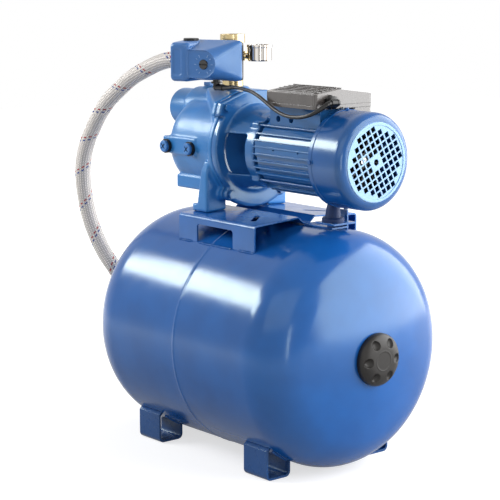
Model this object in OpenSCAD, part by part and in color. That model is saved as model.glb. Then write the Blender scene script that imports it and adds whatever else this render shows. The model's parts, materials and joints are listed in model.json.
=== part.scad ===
// Booster pump set: a self-priming pump with its motor on a lying membrane tank.
// X runs along the tank to the motor's fan end, -Y is the side of the pressure
// switch and +Z is up. The set stands on Z = 0, centred in X between the hose
// elbow and the air valve cap, with the tank's axis over Y = 0.

/* [Tank] */
// Outer diameter of the tank
tank_d = 390; // [380:1:400]
// Height of the tank's axis over the floor
tank_axis_z = 200; // [198:1:206]
// Length of the cylindrical part
tank_straight = 344; // [330:2:360]
// Crown radius of the domed heads
crown_r = 450; // [420:5:480]
// Knuckle radius of the domed heads
knuckle_r = 85; // [75:1:90]
// Wall thickness of the tank
tank_wall = 1.6; // [1.2:0.1:2.5]
// Wall thickness of the rubber membrane
membrane_wall = 2.5; // [2:0.5:4]
// Outer diameter of the water flange
flange_d = 146; // [140:1:156]
// Diameter of the air valve cap
cap_d = 85; // [78:1:90]
// Height of the air valve cap
cap_h = 16; // [14:0.5:20]

/* [Tank feet] */
// Width of a foot strap along the tank
foot_w = 57; // [50:1:64]
// Thickness of a foot strap
foot_t = 3.5; // [2.5:0.5:4.5]
// Depth of a foot strap across the tank
foot_depth = 50; // [44:1:54]
// Distance over the outer faces of the feet
foot_span = 270; // [260:2:276]
// Distance between the foot pairs along the tank
foot_pitch = 284; // [276:2:290]

/* [Saddle] */
// Length of the saddle along the tank
saddle_l = 195; // [185:1:205]
// Distance over the outer faces of the saddle's legs
saddle_w = 224; // [216:2:230]
// Height of the saddle's outer edges over the tank's crown
saddle_lift = 9; // [8:0.5:12]
// Rise from the saddle's edges to its ridges
saddle_rise = 5; // [3:0.5:7]
// Thickness of the saddle sheet
saddle_t = 3; // [2.5:0.5:3.5]
// Width of the window in a leg
window_w = 93; // [80:1:100]

/* [Pump] */
// Height of the pump's and motor's axis over the saddle's edges
pump_h = 107; // [104:1:111]
// Outer radius of the pump body's barrel
barrel_r = 80; // [76:1:82]
// Wall thickness of the pump body
body_wall = 6; // [5:0.5:7]
// Outer radius of the joint flanges
joint_r = 87; // [86:1:90]
// Bore of a one inch pipe thread
port_d = 30.3; // [29:0.1:31]
// Radius of the shaft in the motor
shaft_r = 7; // [6.5:0.5:8]
// Outer radius of the impeller
impeller_r = 60; // [56:1:64]
// Diameter of a side plug's head
plug_d = 20; // [18:1:22]

/* [Motor] */
// Radius of the motor frame between its fins
frame_r = 60; // [59:0.5:61]
// Height of a cooling fin
fin_h = 6; // [4:0.5:7]
// Thickness of a cooling fin
fin_t = 2.2; // [1.8:0.1:2.8]
// Length of the finned frame
frame_l = 143; // [138:1:146]
// Radius of the fan cover
cover_r = 77; // [75:0.5:79]
// Length of the fan cover
cover_l = 72; // [68:1:76]
// Wall thickness of the fan cover
cover_wall = 1.5; // [1.2:0.1:2]
// Pitch of the square grid of air holes
grille_pitch = 10.9; // [10.6:0.1:11.1]
// Side of a square air hole
grille_hole = 8.3; // [7.8:0.1:8.8]
// Turn of the air hole grid about the axis
grille_turn = 27; // [0:1:45]
// Number of fan blades
blade_count = 9; // [7:1:11]

/* [Terminal box] */
// Length of the terminal box
box_l = 119; // [114:1:124]
// Width of the terminal box
box_w = 124; // [118:1:128]
// Height of the terminal box
box_h = 30; // [28:1:34]
// Wall thickness of the terminal box
box_wall = 2.5; // [2:0.5:3.5]

/* [Fittings] */
// Outer radius of the five-way fitting's barrel
fitting_r = 18; // [17:0.5:20]
// Height of the five-way fitting over the delivery boss
fitting_h = 87; // [84:1:90]
// Height of the switch port over the delivery boss
switch_port_h = 42; // [38:1:46]
// Width of the pressure switch
switch_w = 110; // [104:1:114]
// Height of the pressure switch
switch_h = 66; // [62:1:70]
// Depth of the pressure switch cover
switch_depth = 54; // [50:1:58]
// Diameter of the switch's knob
knob_d = 15; // [13:1:17]
// Diameter of the pressure gauge
gauge_d = 43; // [41:1:46]
// Height of the pressure gauge
gauge_h = 27; // [24:1:30]
// Diameter of the braided hose
hose_d = 28; // [26:1:30]
// Diameter of the electric lead
lead_d = 7; // [6.5:0.5:7.5]

/* [Hidden] */
tank_r = tank_d / 2;
tank_half = tank_straight / 2;
knuckle_c = tank_r - knuckle_r;
crown_c = sqrt(pow(crown_r - knuckle_r, 2) - knuckle_c * knuckle_c);
apex_x = tank_half - crown_c + crown_r;
knuckle_a = atan2(knuckle_c, crown_c);
head_steps = 12;
neck_r = 50;
neck_l = 9;
flange_t = 7;
flange_bolt_r = flange_d / 2 - 9;
flange_x = apex_x + neck_l;
stub_r = 17;
stub_l = 26;
union_r = 23;
union_l = 20;
elbow_x = flange_x + flange_t + stub_l + union_l + 45;
elbow_r = 17;
row_x = (elbow_x + elbow_r - apex_x - cap_h) / 2;
valve_r = 8;
valve_l = 12;
cap_bore_r = valve_r + 0.4;

foot_x = -6;
saddle_x = 9.5;
saddle_z = tank_axis_z + tank_r + saddle_lift;
ridge_y = 18;
groove_y = 7;
groove_drop = 9.5;
slot_l = 50;
slot_w = 10;
slot_turn = 130;
slot_x = 58;
slot_back_x = -62;
slot_y = 68;

axis_z = saddle_z + pump_h;
joint_x = -33;
joint_t = 11;
bell_t = 13;
end_x = -176;
head_top_z = axis_z + 95;
head_r = 38;
head_flat_y = 26;
suction_z = head_top_z - head_r - 1;
suction_r = 33;
suction_end_x = -220;
boss_r = 27;
delivery_x = -82;
delivery_z = head_top_z + 4;
fill_x = -143;
plug_z = axis_z - 3;
plug_xs = [-158, -94];
pad_y = -82;
ejector_x = end_x + body_wall + 0.2;
ejector_l = 46;
impeller_x = joint_x - 17;
washer_t = 5;
washer_r = plug_d / 2 + 2;
fit_gap = 0.05;
pin_gap = 0.08;
seat_gap = 0.3;
bolt_r = 4;
bolt_circle = 93;
lug_r = 11;
bolt_turns = [36, 138, 222, 324];
lantern_x = 25;
lantern_l = lantern_x - joint_x;
lantern_ring_r = 63;
frame_x = 52;
frame_end = frame_x + frame_l;
bore_r = 56;
bearing_r = 17.5;
bearing_w = 11;
front_bearing_x = 30;
rear_bearing_x = frame_end - 10;
core_x = 78;
core_l = 88;
rotor_r = 34.5;
air_gap = 0.5;
rod_r = 2;
rod_circle = frame_r + rod_r + 1;
rod_turns = [45, 135, 225, 315];
rod_lug_r = 5.5;
rod_start = lantern_x + 8;
rod_l = frame_end + 4 - rod_start;
fin_count = 36;
cover_x = frame_end;
fan_r = cover_r - 15;
fan_x = frame_end + 20;
fan_w = 22;
cover_screw_turns = [0, 90, 180, 270];
cover_screw_x = 4.5;
cover_screw_r = 1.5;

box_x = 74;
box_y = -61;
box_z = axis_z + cover_r + 2;
seam_z = box_z + 6;
well_z = box_z - 13;
well_y = 21;
lid_ridge_y = -8;
lid_front_drop = 6.5;
lid_back_drop = 9.5;
rib_h = 2.7;
rib_count = 6;
rib_pitch = 10;
rib_y = -48;
lid_h = box_z + box_h - seam_z;
screw_dx = box_l / 2 - 10;
gland_y = -31;
gland_z = box_z + 11;
gland_thread_r = 4.2;
pedestal_x = frame_x + 10;
pedestal_y = -40;
pedestal_w = 60;
pedestal_l = 120;
opening_x = box_x + 16;
opening_y = pedestal_y + 4;
opening_l = 88;
opening_w = pedestal_w - 8;
can_r = 14;
foot_ring_x = 170;
foot_ring_z = saddle_z + 3;
foot_ring_r = 18;
foot_pad_z = axis_z - 62;

turn_n = -68;
port_z = delivery_z + switch_port_h;
gauge_z = port_z + 9;
gauge_stem_l = 26;
gauge_stub_l = 4;
gauge_lift = 6;
gauge_s = gauge_stem_l + gauge_stub_l + gauge_d / 2;
switch_x0 = 30;
switch_base_t = 5;
switch_y0 = -73;
switch_dz = 2;
knob_y = -8;
knob_dz = -2;
switch_root = switch_x0 + switch_base_t;
knob_face = switch_root + switch_depth;
top_gland_y = -52;
low_gland_y = 1;
low_gland_s = 58;
fitting_top = delivery_z + fitting_h;

hose_r = hose_d / 2;
hose_bore_r = 9;
lead_r = lead_d / 2;
elbow_lean = 33;
elbow_arm = 20;
nut_l = 12;
sleeve_l = 24;
boot_l = 18;
motor_boot_l = 13;
union_x = flange_x + flange_t + stub_l + union_l;
hose_port_l = 34;
hose_end_l = nut_l + sleeve_l;

// Directions in the plan: to the switch, and from the fitting to the hose
to_switch = [cos(turn_n), sin(turn_n), 0];
to_hose = [sin(turn_n), -cos(turn_n), 0];
up_elbow = [0, -sin(elbow_lean), cos(elbow_lean)];
hose_start = [delivery_x, 0, port_z] + (hose_port_l + hose_end_l) * to_hose;
hose_stop = [-elbow_x, 0, tank_axis_z] + (elbow_arm + hose_end_l) * up_elbow;

// Points along the middle of the braided hose, from the fitting to the elbow
hose_route = concat([hose_start, hose_start + 14 * to_hose],
    [[-200, -48, 650], [-225, -55, 642], [-252, -62, 630], [-280, -69, 615], [-305, -74, 597],
    [-330, -79, 577], [-352, -83, 553], [-372, -85, 527], [-390, -86, 500], [-403, -86, 473],
    [-412, -84, 445], [-417, -80, 417], [-419, -75, 390], [-418, -70, 363], [-413, -64, 335],
    [-404, -57, 308], [-393, -50, 284]],
    [hose_stop + 14 * up_elbow, hose_stop]);

// Points along the middle of the lead, from the switch's boot to the terminal box's boot
lead_start = [delivery_x, 0, port_z + switch_dz - switch_h / 2 - 9] + low_gland_s * to_switch
    - low_gland_y * to_hose + [boot_l, 0, 0];
lead_stop = [box_x + box_l + 17, gland_y - motor_boot_l, gland_z];
lead_route = concat([lead_start, lead_start + [10, 0, 0]],
    [[-16, -53, 613.5], [-2, -53, 613.5], [12, -55, 612.5], [26, -58, 611.5], [40, -61, 610],
    [54, -64, 607], [67, -66, 603], [79, -67, 598], [91, -68, 592.5], [103, -69, 587.5],
    [116, -70, 583], [130, -71, 579.5], [144, -72, 577.6], [158, -72, 577.3], [171, -72, 578.3],
    [183, -71.5, 580.5], [193.5, -69, 584], [202, -63.5, 589.5], [207.6, -56.5, 595.5]],
    [lead_stop - [0.3, 6, 1.5], lead_stop]);
round_n = 96;

// Points of a circular arc, as [x, y] pairs
function arc(cx, cy, r, a0, a1, n) =
    [for (i = [0:n]) let (a = a0 + (a1 - a0) * i / n) [cx + r * cos(a), cy + r * sin(a)]];

// Outline of a rounded rectangle about its centre
function rounded(w, h, r, n = 5) = concat(
    arc(w / 2 - r, h / 2 - r, r, 0, 90, n),
    arc(r - w / 2, h / 2 - r, r, 90, 180, n),
    arc(r - w / 2, r - h / 2, r, 180, 270, n),
    arc(w / 2 - r, r - h / 2, r, 270, 360, n));

// Meridian of a domed head set in by d, from the straight part to radius r_end, as [radius, x]
function head_line(d, r_end) = concat(
    [for (i = [0:head_steps]) let (a = 90 - (90 - knuckle_a) * i / head_steps)
        [knuckle_c + (knuckle_r - d) * sin(a), tank_half + (knuckle_r - d) * cos(a)]],
    [for (i = [1:head_steps])
        let (a0 = knuckle_a, a1 = asin(r_end / (crown_r - d)), a = a0 + (a1 - a0) * i / head_steps)
        [(crown_r - d) * sin(a), tank_half - crown_c + (crown_r - d) * cos(a)]]);

function flip(points) = [for (i = [len(points) - 1:-1:0]) points[i]];

// Height of the saddle's top face at a distance y from the middle
function saddle_top(y) = saddle_z + saddle_rise * (saddle_w / 2 - abs(y)) / (saddle_w / 2 - ridge_y);

function unit(v) = v / norm(v);

// Puts a piece from the tank's frame into the frame of the whole set
module row() {
    translate([row_x, 0, 0]) children();
}

// Stands a piece along +X at height z
module spun(x, z = 0, y = 0) {
    translate([x, y, z]) rotate([0, 90, 0]) children();
}

// Solid of revolution from [radius, height] points
module turned(points) {
    rotate_extrude($fn = round_n) polygon(points);
}

module disc(r, h) {
    cylinder(r = r, h = h, $fn = round_n);
}

module ring(r_out, r_in, h) {
    difference() {
        disc(r_out, h);
        translate([0, 0, -1]) disc(r_in, h + 2);
    }
}

module slab(w, h, r, t) {
    linear_extrude(t) polygon(rounded(w, h, r));
}

module hex(r, h) {
    cylinder(r = r, h = h, $fn = 6);
}

// Repeats a piece at each turn about the axis of the spun frame
module around(turns) {
    for (a = turns) rotate([0, 0, a]) children();
}

// Local frame of the five-way fitting: X to the switch, Y to the gauge
module fitting_frame(z) {
    translate([delivery_x, 0, z]) rotate([0, 0, turn_n]) children();
}

// One side of the weld bead round the tank's middle
module seam_weld() {
    bead_h = 1.2;
    turned([[tank_r - tank_wall, 0], [tank_r + bead_h, 0], [tank_r + bead_h - 0.4, 3],
        [tank_r - tank_wall, 4]]);
}

module tank_shell_front() {
    row() color("royalblue") spun(0, tank_axis_z) difference() {
        union() {
            turned(concat([[tank_r, 0]], head_line(0, 0), flip(head_line(tank_wall, 0)),
                [[tank_r - tank_wall, 0]]));
            seam_weld();
        }
        translate([0, 0, apex_x - 10]) disc(valve_r / 2, 20);
    }
}

module tank_shell_rear() {
    row() color("royalblue") spun(0, tank_axis_z) mirror([0, 0, 1]) union() {
        turned(concat([[tank_r, 0]], head_line(0, neck_r), flip(head_line(tank_wall, neck_r - tank_wall)),
            [[tank_r - tank_wall, 0]]));
        seam_weld();
        translate([0, 0, apex_x - 9]) difference() {
            disc(flange_d / 2, neck_l + 9);
            translate([0, 0, -1]) disc(neck_r - 4, neck_l + 11);
            translate([0, 0, -1]) ring(flange_d, neck_r, 7);
            around([30:60:330]) translate([flange_bolt_r, 0, -1]) disc(bolt_r + 0.4, neck_l + 11);
        }
    }
}

// Rubber bag held between the tank's flange and the counterflange
module tank_membrane() {
    bag_r = 120;
    bag_end = 110;
    collar_r = neck_r - 5;
    round = 60;
    outer = concat([[collar_r, flange_x], [collar_r, flange_x - 25]],
        arc(bag_r - round, flange_x - 95, round, 90, 0, 8),
        arc(bag_r - round, round - bag_end, round, 0, -90, 8), [[0, -bag_end]]);
    inner = concat([[collar_r - membrane_wall, flange_x], [collar_r - membrane_wall, flange_x - 26]],
        arc(bag_r - round, flange_x - 95, round - membrane_wall, 90, 0, 8),
        arc(bag_r - round, round - bag_end, round - membrane_wall, 0, -90, 8),
        [[0, membrane_wall - bag_end]]);
    row() color("black") spun(0, tank_axis_z) mirror([0, 0, 1]) turned(concat(outer, flip(inner)));
}

module tank_flange() {
    row() color("silver") spun(-flange_x, tank_axis_z) mirror([0, 0, 1]) difference() {
        union() {
            disc(flange_d / 2, flange_t);
            disc(stub_r + 6, flange_t + 8);
            disc(stub_r, flange_t + stub_l);
        }
        translate([0, 0, -1]) disc(port_d / 2 - 2, flange_t + stub_l + 2);
        around([30:60:330]) translate([flange_bolt_r, 0, -1]) disc(bolt_r + 0.4, flange_t + 2);
    }
}

module flange_bolts() {
    row() color("silver") spun(-flange_x - flange_t, tank_axis_z) mirror([0, 0, 1]) around([30:60:330])
        translate([flange_bolt_r, 0, 0]) {
            hex(7.2, 5);
            translate([0, 0, -flange_t - neck_l - 3]) disc(bolt_r, flange_t + neck_l + 4);
        }
}

module air_valve() {
    row() color("goldenrod") spun(apex_x, tank_axis_z) {
        disc(valve_r, valve_l - 4);
        disc(valve_r - 3, valve_l);
        translate([0, 0, -14]) disc(valve_r / 2 - fit_gap, 15);
    }
}

module air_valve_cap() {
    face_r = 17;
    skirt = 3;
    dimple_r = 9;
    row() color([0.1, 0.1, 0.11]) spun(apex_x, tank_axis_z) difference() {
        turned(concat([[0, cap_h], [face_r, cap_h]], [for (i = [1:8]) let (a = 90 * i / 8)
            [face_r + (cap_d / 2 - face_r) * sin(a), skirt + (cap_h - skirt) * cos(a)]],
            [[cap_d / 2, -1], [0, -1]]));
        translate([0, 0, -1]) disc(cap_bore_r, valve_l + 2);
        translate([0, 0, -crown_r + 0.6]) sphere(r = crown_r, $fn = 200);
        around([30:60:330]) translate([cap_d / 2 - 11, 0, cap_h + 1]) sphere(r = dimple_r, $fn = 48);
    }
}

// U-shaped strap, its tops cut to the tank's skin
module tank_foot() {
    half = foot_span / 2;
    bend = 9;
    inner_y = -half + foot_depth;
    outline = concat(
        [[-half + 12, 61], [-half, 50]],
        arc(-half + bend, bend, bend, 180, 270, 5),
        arc(inner_y - bend, bend, bend, 270, 360, 5),
        [[inner_y, 60], [inner_y - foot_t, 60]],
        flip(arc(inner_y - bend, bend, bend - foot_t, 270, 360, 5)),
        flip(arc(-half + bend, bend, bend - foot_t, 180, 270, 5)),
        [[-half + foot_t, 48], [-half + 14, 57]]);
    difference() {
        translate([-foot_w / 2, 0, 0]) rotate([90, 0, 90]) linear_extrude(foot_w) polygon(outline);
        spun(-foot_w, tank_axis_z) disc(tank_r + fit_gap, 2 * foot_w);
    }
}

module tank_feet() {
    row() color("royalblue") for (s = [-1, 1]) {
        translate([foot_x + s * foot_pitch / 2, 0, 0]) tank_foot();
        translate([foot_x + s * foot_pitch / 2, 0, 0]) mirror([0, 1, 0]) tank_foot();
    }
}

// Right half of the saddle's section, from the groove to the foot of a leg, set in by d
function saddle_half(d) =
    let (half = saddle_w / 2, bend = 6, groove_z = saddle_top(ridge_y) - groove_drop - d) concat(
    [[groove_y - d * 0.4, groove_z], [ridge_y, saddle_top(ridge_y) - d]],
    arc(half - bend, saddle_z - bend, bend - d, 80, 0, 5),
    [[half - d, tank_axis_z + 100]]);

function mirrored(points) = [for (p = flip(points)) [-p[0], p[1]]];

module saddle_section() {
    outer = saddle_half(0);
    inner = saddle_half(saddle_t);
    polygon(concat(mirrored(outer), outer, flip(inner), flip(mirrored(inner))));
}

module saddle_slot(x, y, turn) {
    translate([x, y, saddle_z - 20]) rotate([0, 0, turn]) slab(slot_l, slot_w, slot_w / 2 - 0.01, 40);
}

module pump_saddle() {
    row() color("royalblue") difference() {
        translate([saddle_x - saddle_l / 2, 0, 0]) rotate([90, 0, 90]) linear_extrude(saddle_l)
            saddle_section();
        spun(saddle_x - saddle_l, tank_axis_z) disc(tank_r + fit_gap, 2 * saddle_l);
        translate([saddle_x - 3, 0, saddle_z - 54]) rotate([90, 0, 0]) translate([0, 0, -saddle_w])
            slab(window_w, 80, 5, 2 * saddle_w);
        for (s = [-1, 1]) {
            saddle_slot(slot_x, s * slot_y, -s * slot_turn);
            saddle_slot(slot_back_x, s * slot_y, s * slot_turn);
        }
    }
}

// Strip on the tank's top, an upright plate and the shelf under the motor's foot
module motor_support() {
    plate_x = 129;
    plate_y = 25;
    plate_h = 32;
    strip_z = tank_axis_z + tank_r + seat_gap;
    strip_x = saddle_x + saddle_l / 2 + 1;
    strip_end = 176;
    sheet_t = 3;
    shelf_l = 44;
    row() color("royalblue") {
        difference() {
            translate([plate_x, plate_y, strip_z - sheet_t]) cube([strip_end - plate_x, sheet_t, plate_h]);
            spun(100, tank_axis_z) disc(tank_r + fit_gap, 100);
        }
        translate([strip_x, -groove_y, strip_z])
            cube([strip_end - strip_x, plate_y + groove_y + sheet_t, sheet_t]);
        difference() {
            translate([foot_ring_x - shelf_l / 2, -foot_ring_r, foot_ring_z - sheet_t])
                cube([shelf_l, plate_y + foot_ring_r + sheet_t, sheet_t]);
            translate([foot_ring_x, 0, foot_ring_z - 4]) disc(bolt_r + pin_gap, 5);
        }
    }
}

// Stepped rubber cone between the shelf and the motor's pad
module motor_foot() {
    h = foot_pad_z - foot_ring_z - seat_gap;
    row() color([0.2, 0.2, 0.21]) translate([foot_ring_x, 0, foot_ring_z]) {
        turned([[0, 0], [foot_ring_r, 0], [foot_ring_r, 6], [16, 8], [13, 8], [11, 22], [9, 30],
            [9, h], [0, h]]);
        translate([0, 0, -6]) disc(bolt_r, 7);
    }
}

module saddle_bolts() {
    row() color("silver") for (s = [-1, 1]) translate([slot_back_x, s * slot_y, saddle_z + 14]) {
        disc(9, 1.5);
        translate([0, 0, 1.5]) hex(7.5, 5.5);
        translate([0, 0, -26]) disc(bolt_r, 27);
        translate([0, 0, -20.5]) hex(7.5, 5);
    }
}

// Barrel with a rounded end, hollow, open at the joint
module barrel_line(d) {
    round = 36;
    turned(concat([[0, end_x + d]], arc(barrel_r - round, end_x + round, round - d, -90, 0, 8),
        [[barrel_r - d, joint_x - joint_t + 1], [0, joint_x - joint_t + 1]]));
}

// One foot of the pump body with its tapered web, following the saddle's slope
module pump_leg() {
    x0 = -83;
    x1 = joint_x - joint_t;
    half = 88;
    inner = 46;
    top = saddle_z + 14;
    web_z = axis_z - 20;
    translate([x0, 0, 0]) rotate([90, 0, 90]) linear_extrude(x1 - x0)
        polygon([[-half, saddle_top(half)], [-inner, saddle_top(inner)], [-inner, top], [-half, top]]);
    intersection() {
        translate([x0, 0, 0]) rotate([90, 0, 90]) linear_extrude(x1 - x0)
            polygon([[-half, top - 1], [10 - half, top - 1], [10 - half, top + 14], [-60, top + 40],
                [-70, web_z], [-83, web_z], [-half, web_z - 20]]);
        rotate([90, 0, 0]) linear_extrude(half + 1)
            polygon([[x0 + 12, top - 2], [x1, top - 2], [x1, web_z + 1], [x0 + 26, web_z + 1]]);
    }
    translate([x1 - 7, 0, 0]) rotate([90, 0, 90]) linear_extrude(7)
        polygon([[-half, top - 1], [-inner, top - 1], [-inner, top + 30], [-66, top + 50],
            [-half, top + 30]]);
}

// Outline of the head over the axis: a flat top with slanting shoulders, down to a low edge
module head_outline(half, low_half, low) {
    top = head_top_z - axis_z;
    polygon([[-top, -head_flat_y], [-top, head_flat_y], [17 - top, half], [low - top, low_half],
        [low - top, -low_half], [17 - top, -half]]);
}

// Outline of the joint flange: round below, shouldered above, with four bolt lugs
module lugged_outline() {
    circle(r = joint_r, $fn = round_n);
    head_outline(73, 80, 39);
    for (a = bolt_turns) rotate(a) translate([bolt_circle, 0]) circle(r = lug_r, $fn = round_n);
}

// Widening of the pump's head towards the joint flange
module shoulders() {
    half = 72;
    x0 = -124;
    x1 = joint_x - joint_t + 1;
    intersection() {
        spun(x0, axis_z) linear_extrude(x1 - x0) head_outline(half, half, 75);
        translate([0, 0, axis_z]) linear_extrude(head_top_z - axis_z + 1)
            polygon([[x0, -22], [x0, 22], [x1, half], [x1, -half]]);
    }
}

module pump_body() {
    row() color("steelblue") difference() {
        union() {
            spun(0, axis_z) barrel_line(0);
            spun(joint_x - joint_t, axis_z) linear_extrude(joint_t) lugged_outline();
            spun(end_x + 4, suction_z) disc(head_r, joint_x - end_x - 8);
            shoulders();
            spun(suction_end_x, suction_z)
                turned([[0, 0], [suction_r - 4, 0], [suction_r, 5], [suction_r, 70], [0, 70]]);
            translate([delivery_x, 0, suction_z]) disc(boss_r, delivery_z - suction_z);
            translate([fill_x, 0, head_top_z - 10]) disc(12, 11.5);
            translate([plug_xs[0] - 13, pad_y, plug_z - 12]) cube([plug_xs[1] - plug_xs[0] + 24, 30, 29]);
            translate([-154, -66, axis_z - 74]) cube([74, 22, 22]);
            translate([-140, 0, axis_z - barrel_r - 5]) disc(14, 20);
            pump_leg();
            mirror([0, 1, 0]) pump_leg();
        }
        spun(0, axis_z) barrel_line(body_wall);
        spun(joint_x - joint_t - 1, axis_z) disc(barrel_r - body_wall, joint_t + 2);
        spun(joint_x - 3.8, axis_z) ring(barrel_r + 3.3, barrel_r - 1.2, 5);
        spun(suction_end_x - 1, suction_z) disc(port_d / 2, 21);
        spun(suction_end_x + 15, suction_z) disc(port_d / 2 - 3, 60);
        translate([delivery_x, 0, axis_z + 60]) disc(port_d / 2 - 3, 60);
        translate([delivery_x, 0, delivery_z - 15]) disc(16.6, 16);
        translate([fill_x, 0, axis_z + 60]) disc(7 + pin_gap, 60);
        for (x = plug_xs) translate([x, pad_y - 1, plug_z]) rotate([-90, 0, 0]) disc(5 + pin_gap, 30);
        translate([-140, 0, axis_z - barrel_r - 6]) disc(5 + pin_gap, 30);
        spun(joint_x - joint_t - 1, axis_z) around(bolt_turns)
            translate([bolt_circle, 0, 0]) disc(bolt_r + pin_gap, joint_t + 2);
        for (s = [-1, 1]) translate([slot_back_x, s * slot_y, saddle_z - 10]) disc(bolt_r + 0.5, 30);
        for (s = [-1, 1]) translate([slot_back_x, s * slot_y, saddle_z + 14]) disc(10, 12);
    }
}

module side_plugs() {
    row() color("steelblue") for (x = plug_xs) translate([x, pad_y - washer_t, plug_z]) rotate([90, 0, 0])
        difference() {
            union() {
                turned([[0, 0], [plug_d / 2, 0], [plug_d / 2, 4], [plug_d / 2 - 1.2, 5], [0, 5]]);
                translate([0, 0, -washer_t - 14]) disc(5, washer_t + 15);
            }
            for (a = [45, 135]) rotate([0, 0, a]) translate([-6, -1, 2.5]) cube([12, 2, 4]);
        }
}

module plug_washers() {
    row() color([0.12, 0.1, 0.1]) for (x = plug_xs) translate([x, pad_y, plug_z]) rotate([90, 0, 0])
        ring(washer_r, 5 + pin_gap, washer_t);
}

module fill_plug() {
    row() color("steelblue") translate([fill_x, 0, head_top_z + 1.5]) difference() {
        union() {
            translate([-7.5, -7.5, 0]) cube([15, 15, 6]);
            translate([0, 0, -16]) disc(7, 17);
        }
        translate([-4, -4, 2]) cube([8, 8, 6]);
    }
}

module drain_plug() {
    row() color("steelblue") translate([-140, 0, axis_z - barrel_r - 5]) {
        translate([0, 0, -6]) hex(8, 6);
        translate([0, 0, -1]) disc(5, 13);
    }
}

// Venturi nozzle that draws the first water in
module ejector() {
    row() color("ivory") spun(ejector_x, axis_z) difference() {
        turned([[0, 0], [16, 0], [16, 6], [11, 8], [11, ejector_l - 6], [15, ejector_l - 2],
            [15, ejector_l], [0, ejector_l]]);
        translate([0, 0, -1]) turned([[0, 0], [9, 0], [4.5, 24], [8, ejector_l + 2], [0, ejector_l + 2]]);
    }
}

// Guide cone with return vanes round the impeller's eye
module diffuser() {
    x0 = ejector_x + ejector_l + 0.2;
    l = impeller_x - 1.2 - x0;
    rim_r = barrel_r - body_wall - 0.1;
    row() color("ivory") spun(x0, axis_z) {
        difference() {
            turned([[0, 0], [16, 0], [18, 10], [rim_r, l - 8], [rim_r, l], [0, l]]);
            turned([[0, 14], [16, 14], [rim_r - 4, l - 5], [rim_r - 4, l + 1], [0, l + 1]]);
            translate([0, 0, -1]) disc(8, 20);
        }
        around([0:60:300]) translate([30, -1, l - 26]) rotate([0, 0, 20]) cube([24, 2, 16]);
    }
}

module impeller() {
    row() color("goldenrod") spun(impeller_x, axis_z) difference() {
        union() {
            ring(impeller_r, 16, 2.5);
            translate([0, 0, 7]) disc(impeller_r, 2.5);
            disc(11, 9.5);
            around([0:60:300]) translate([10, -1.2, 1]) rotate([0, 0, 24]) cube([impeller_r - 14, 2.4, 7]);
        }
        translate([0, 0, -1]) disc(6 + 0.02, 20);
    }
}

module seal_head() {
    row() color("dimgray") spun(joint_x - 7.4, axis_z) ring(11, 6 + 0.02, 7.9);
}

module seal_seat() {
    row() color("white") spun(joint_x + 0.6, axis_z) ring(12, 7.4, 6.4);
}

module body_o_ring() {
    row() color("black") spun(joint_x - 1.9, axis_z) rotate_extrude($fn = round_n)
        translate([barrel_r + 1, 0]) circle(r = 1.8, $fn = 24);
}

// Lantern between the pump's flange and the motor, with a window on each side
module adapter() {
    row() color("steelblue") difference() {
        union() {
            spun(joint_x, axis_z) linear_extrude(bell_t) {
                lugged_outline();
                intersection() {
                    circle(r = joint_r + 13, $fn = round_n);
                    translate([0, -joint_r * 0.66]) square([200, joint_r * 1.32]);
                }
            }
            spun(joint_x + bell_t - 1, axis_z) turned([[0, 0], [74, 0], [72, 4],
                [lantern_ring_r, lantern_l - bell_t], [lantern_ring_r, 66], [0, 66]]);
            spun(lantern_x, axis_z) around(rod_turns) translate([rod_circle, 0, 0]) disc(rod_lug_r, 19);
        }
        spun(joint_x + 9, axis_z) turned([[0, 0], [68, 0], [66, 4], [lantern_ring_r - 6, lantern_l - 9],
            [0, lantern_l - 9]]);
        spun(joint_x - 1, axis_z) disc(9, 20);
        spun(joint_x - 1, axis_z) disc(12 + fit_gap, 8);
        translate([joint_x + bell_t, -120, axis_z - 38]) cube([lantern_l - bell_t - 2, 240, 66]);
        translate([joint_x + bell_t + 4, -26, axis_z - 120]) cube([30, 52, 80]);
        spun(front_bearing_x, axis_z) disc(bearing_r + fit_gap, bearing_w + 0.1);
        spun(lantern_x - 1, axis_z) disc(12, 30);
        spun(front_bearing_x + bearing_w, axis_z) disc(bore_r - 3, 20);
        spun(joint_x - 1, axis_z) around(bolt_turns)
            translate([bolt_circle, 0, 0]) disc(bolt_r + pin_gap, bell_t + 2);
        spun(rod_start - 2, axis_z) around(rod_turns) translate([rod_circle, 0, 0])
            disc(rod_r + pin_gap, 16);
    }
}

// Repeats a piece by turning it about the pump's axis
module around_x(turns) {
    for (a = turns) translate([0, 0, axis_z]) rotate([a, 0, 0]) children();
}

module flange_screws() {
    row() color("silver") spun(joint_x, axis_z) around(bolt_turns)
        translate([bolt_circle, 0, 0]) {
            translate([0, 0, bell_t]) hex(7.2, 5);
            translate([0, 0, -joint_t]) disc(bolt_r, bell_t + joint_t + 1);
        }
}

module shaft() {
    row() color("silver") spun(0, axis_z) {
        translate([0, 0, joint_x - 22]) disc(6, 30);
        translate([0, 0, joint_x + 7]) disc(shaft_r, rear_bearing_x + bearing_w - joint_x - 7);
        translate([0, 0, rear_bearing_x + bearing_w - 1])
            disc(6, fan_x + fan_w - rear_bearing_x - bearing_w + 3);
    }
}

module rotor_core() {
    row() color("dimgray") spun(core_x, axis_z) {
        ring(rotor_r, shaft_r + 0.02, core_l);
        translate([0, 0, -6]) ring(rotor_r - 3, rotor_r - 12, 6);
        translate([0, 0, core_l]) ring(rotor_r - 3, rotor_r - 12, 6);
    }
}

module stator_core() {
    row() color("gray") spun(core_x, axis_z) ring(bore_r - fit_gap, rotor_r + air_gap, core_l);
}

module stator_windings() {
    winding_l = 14;
    row() color("peru") for (x = [core_x - winding_l, core_x + core_l])
        spun(x, axis_z) ring(bore_r - 4, rotor_r + 4, winding_l);
}

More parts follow.
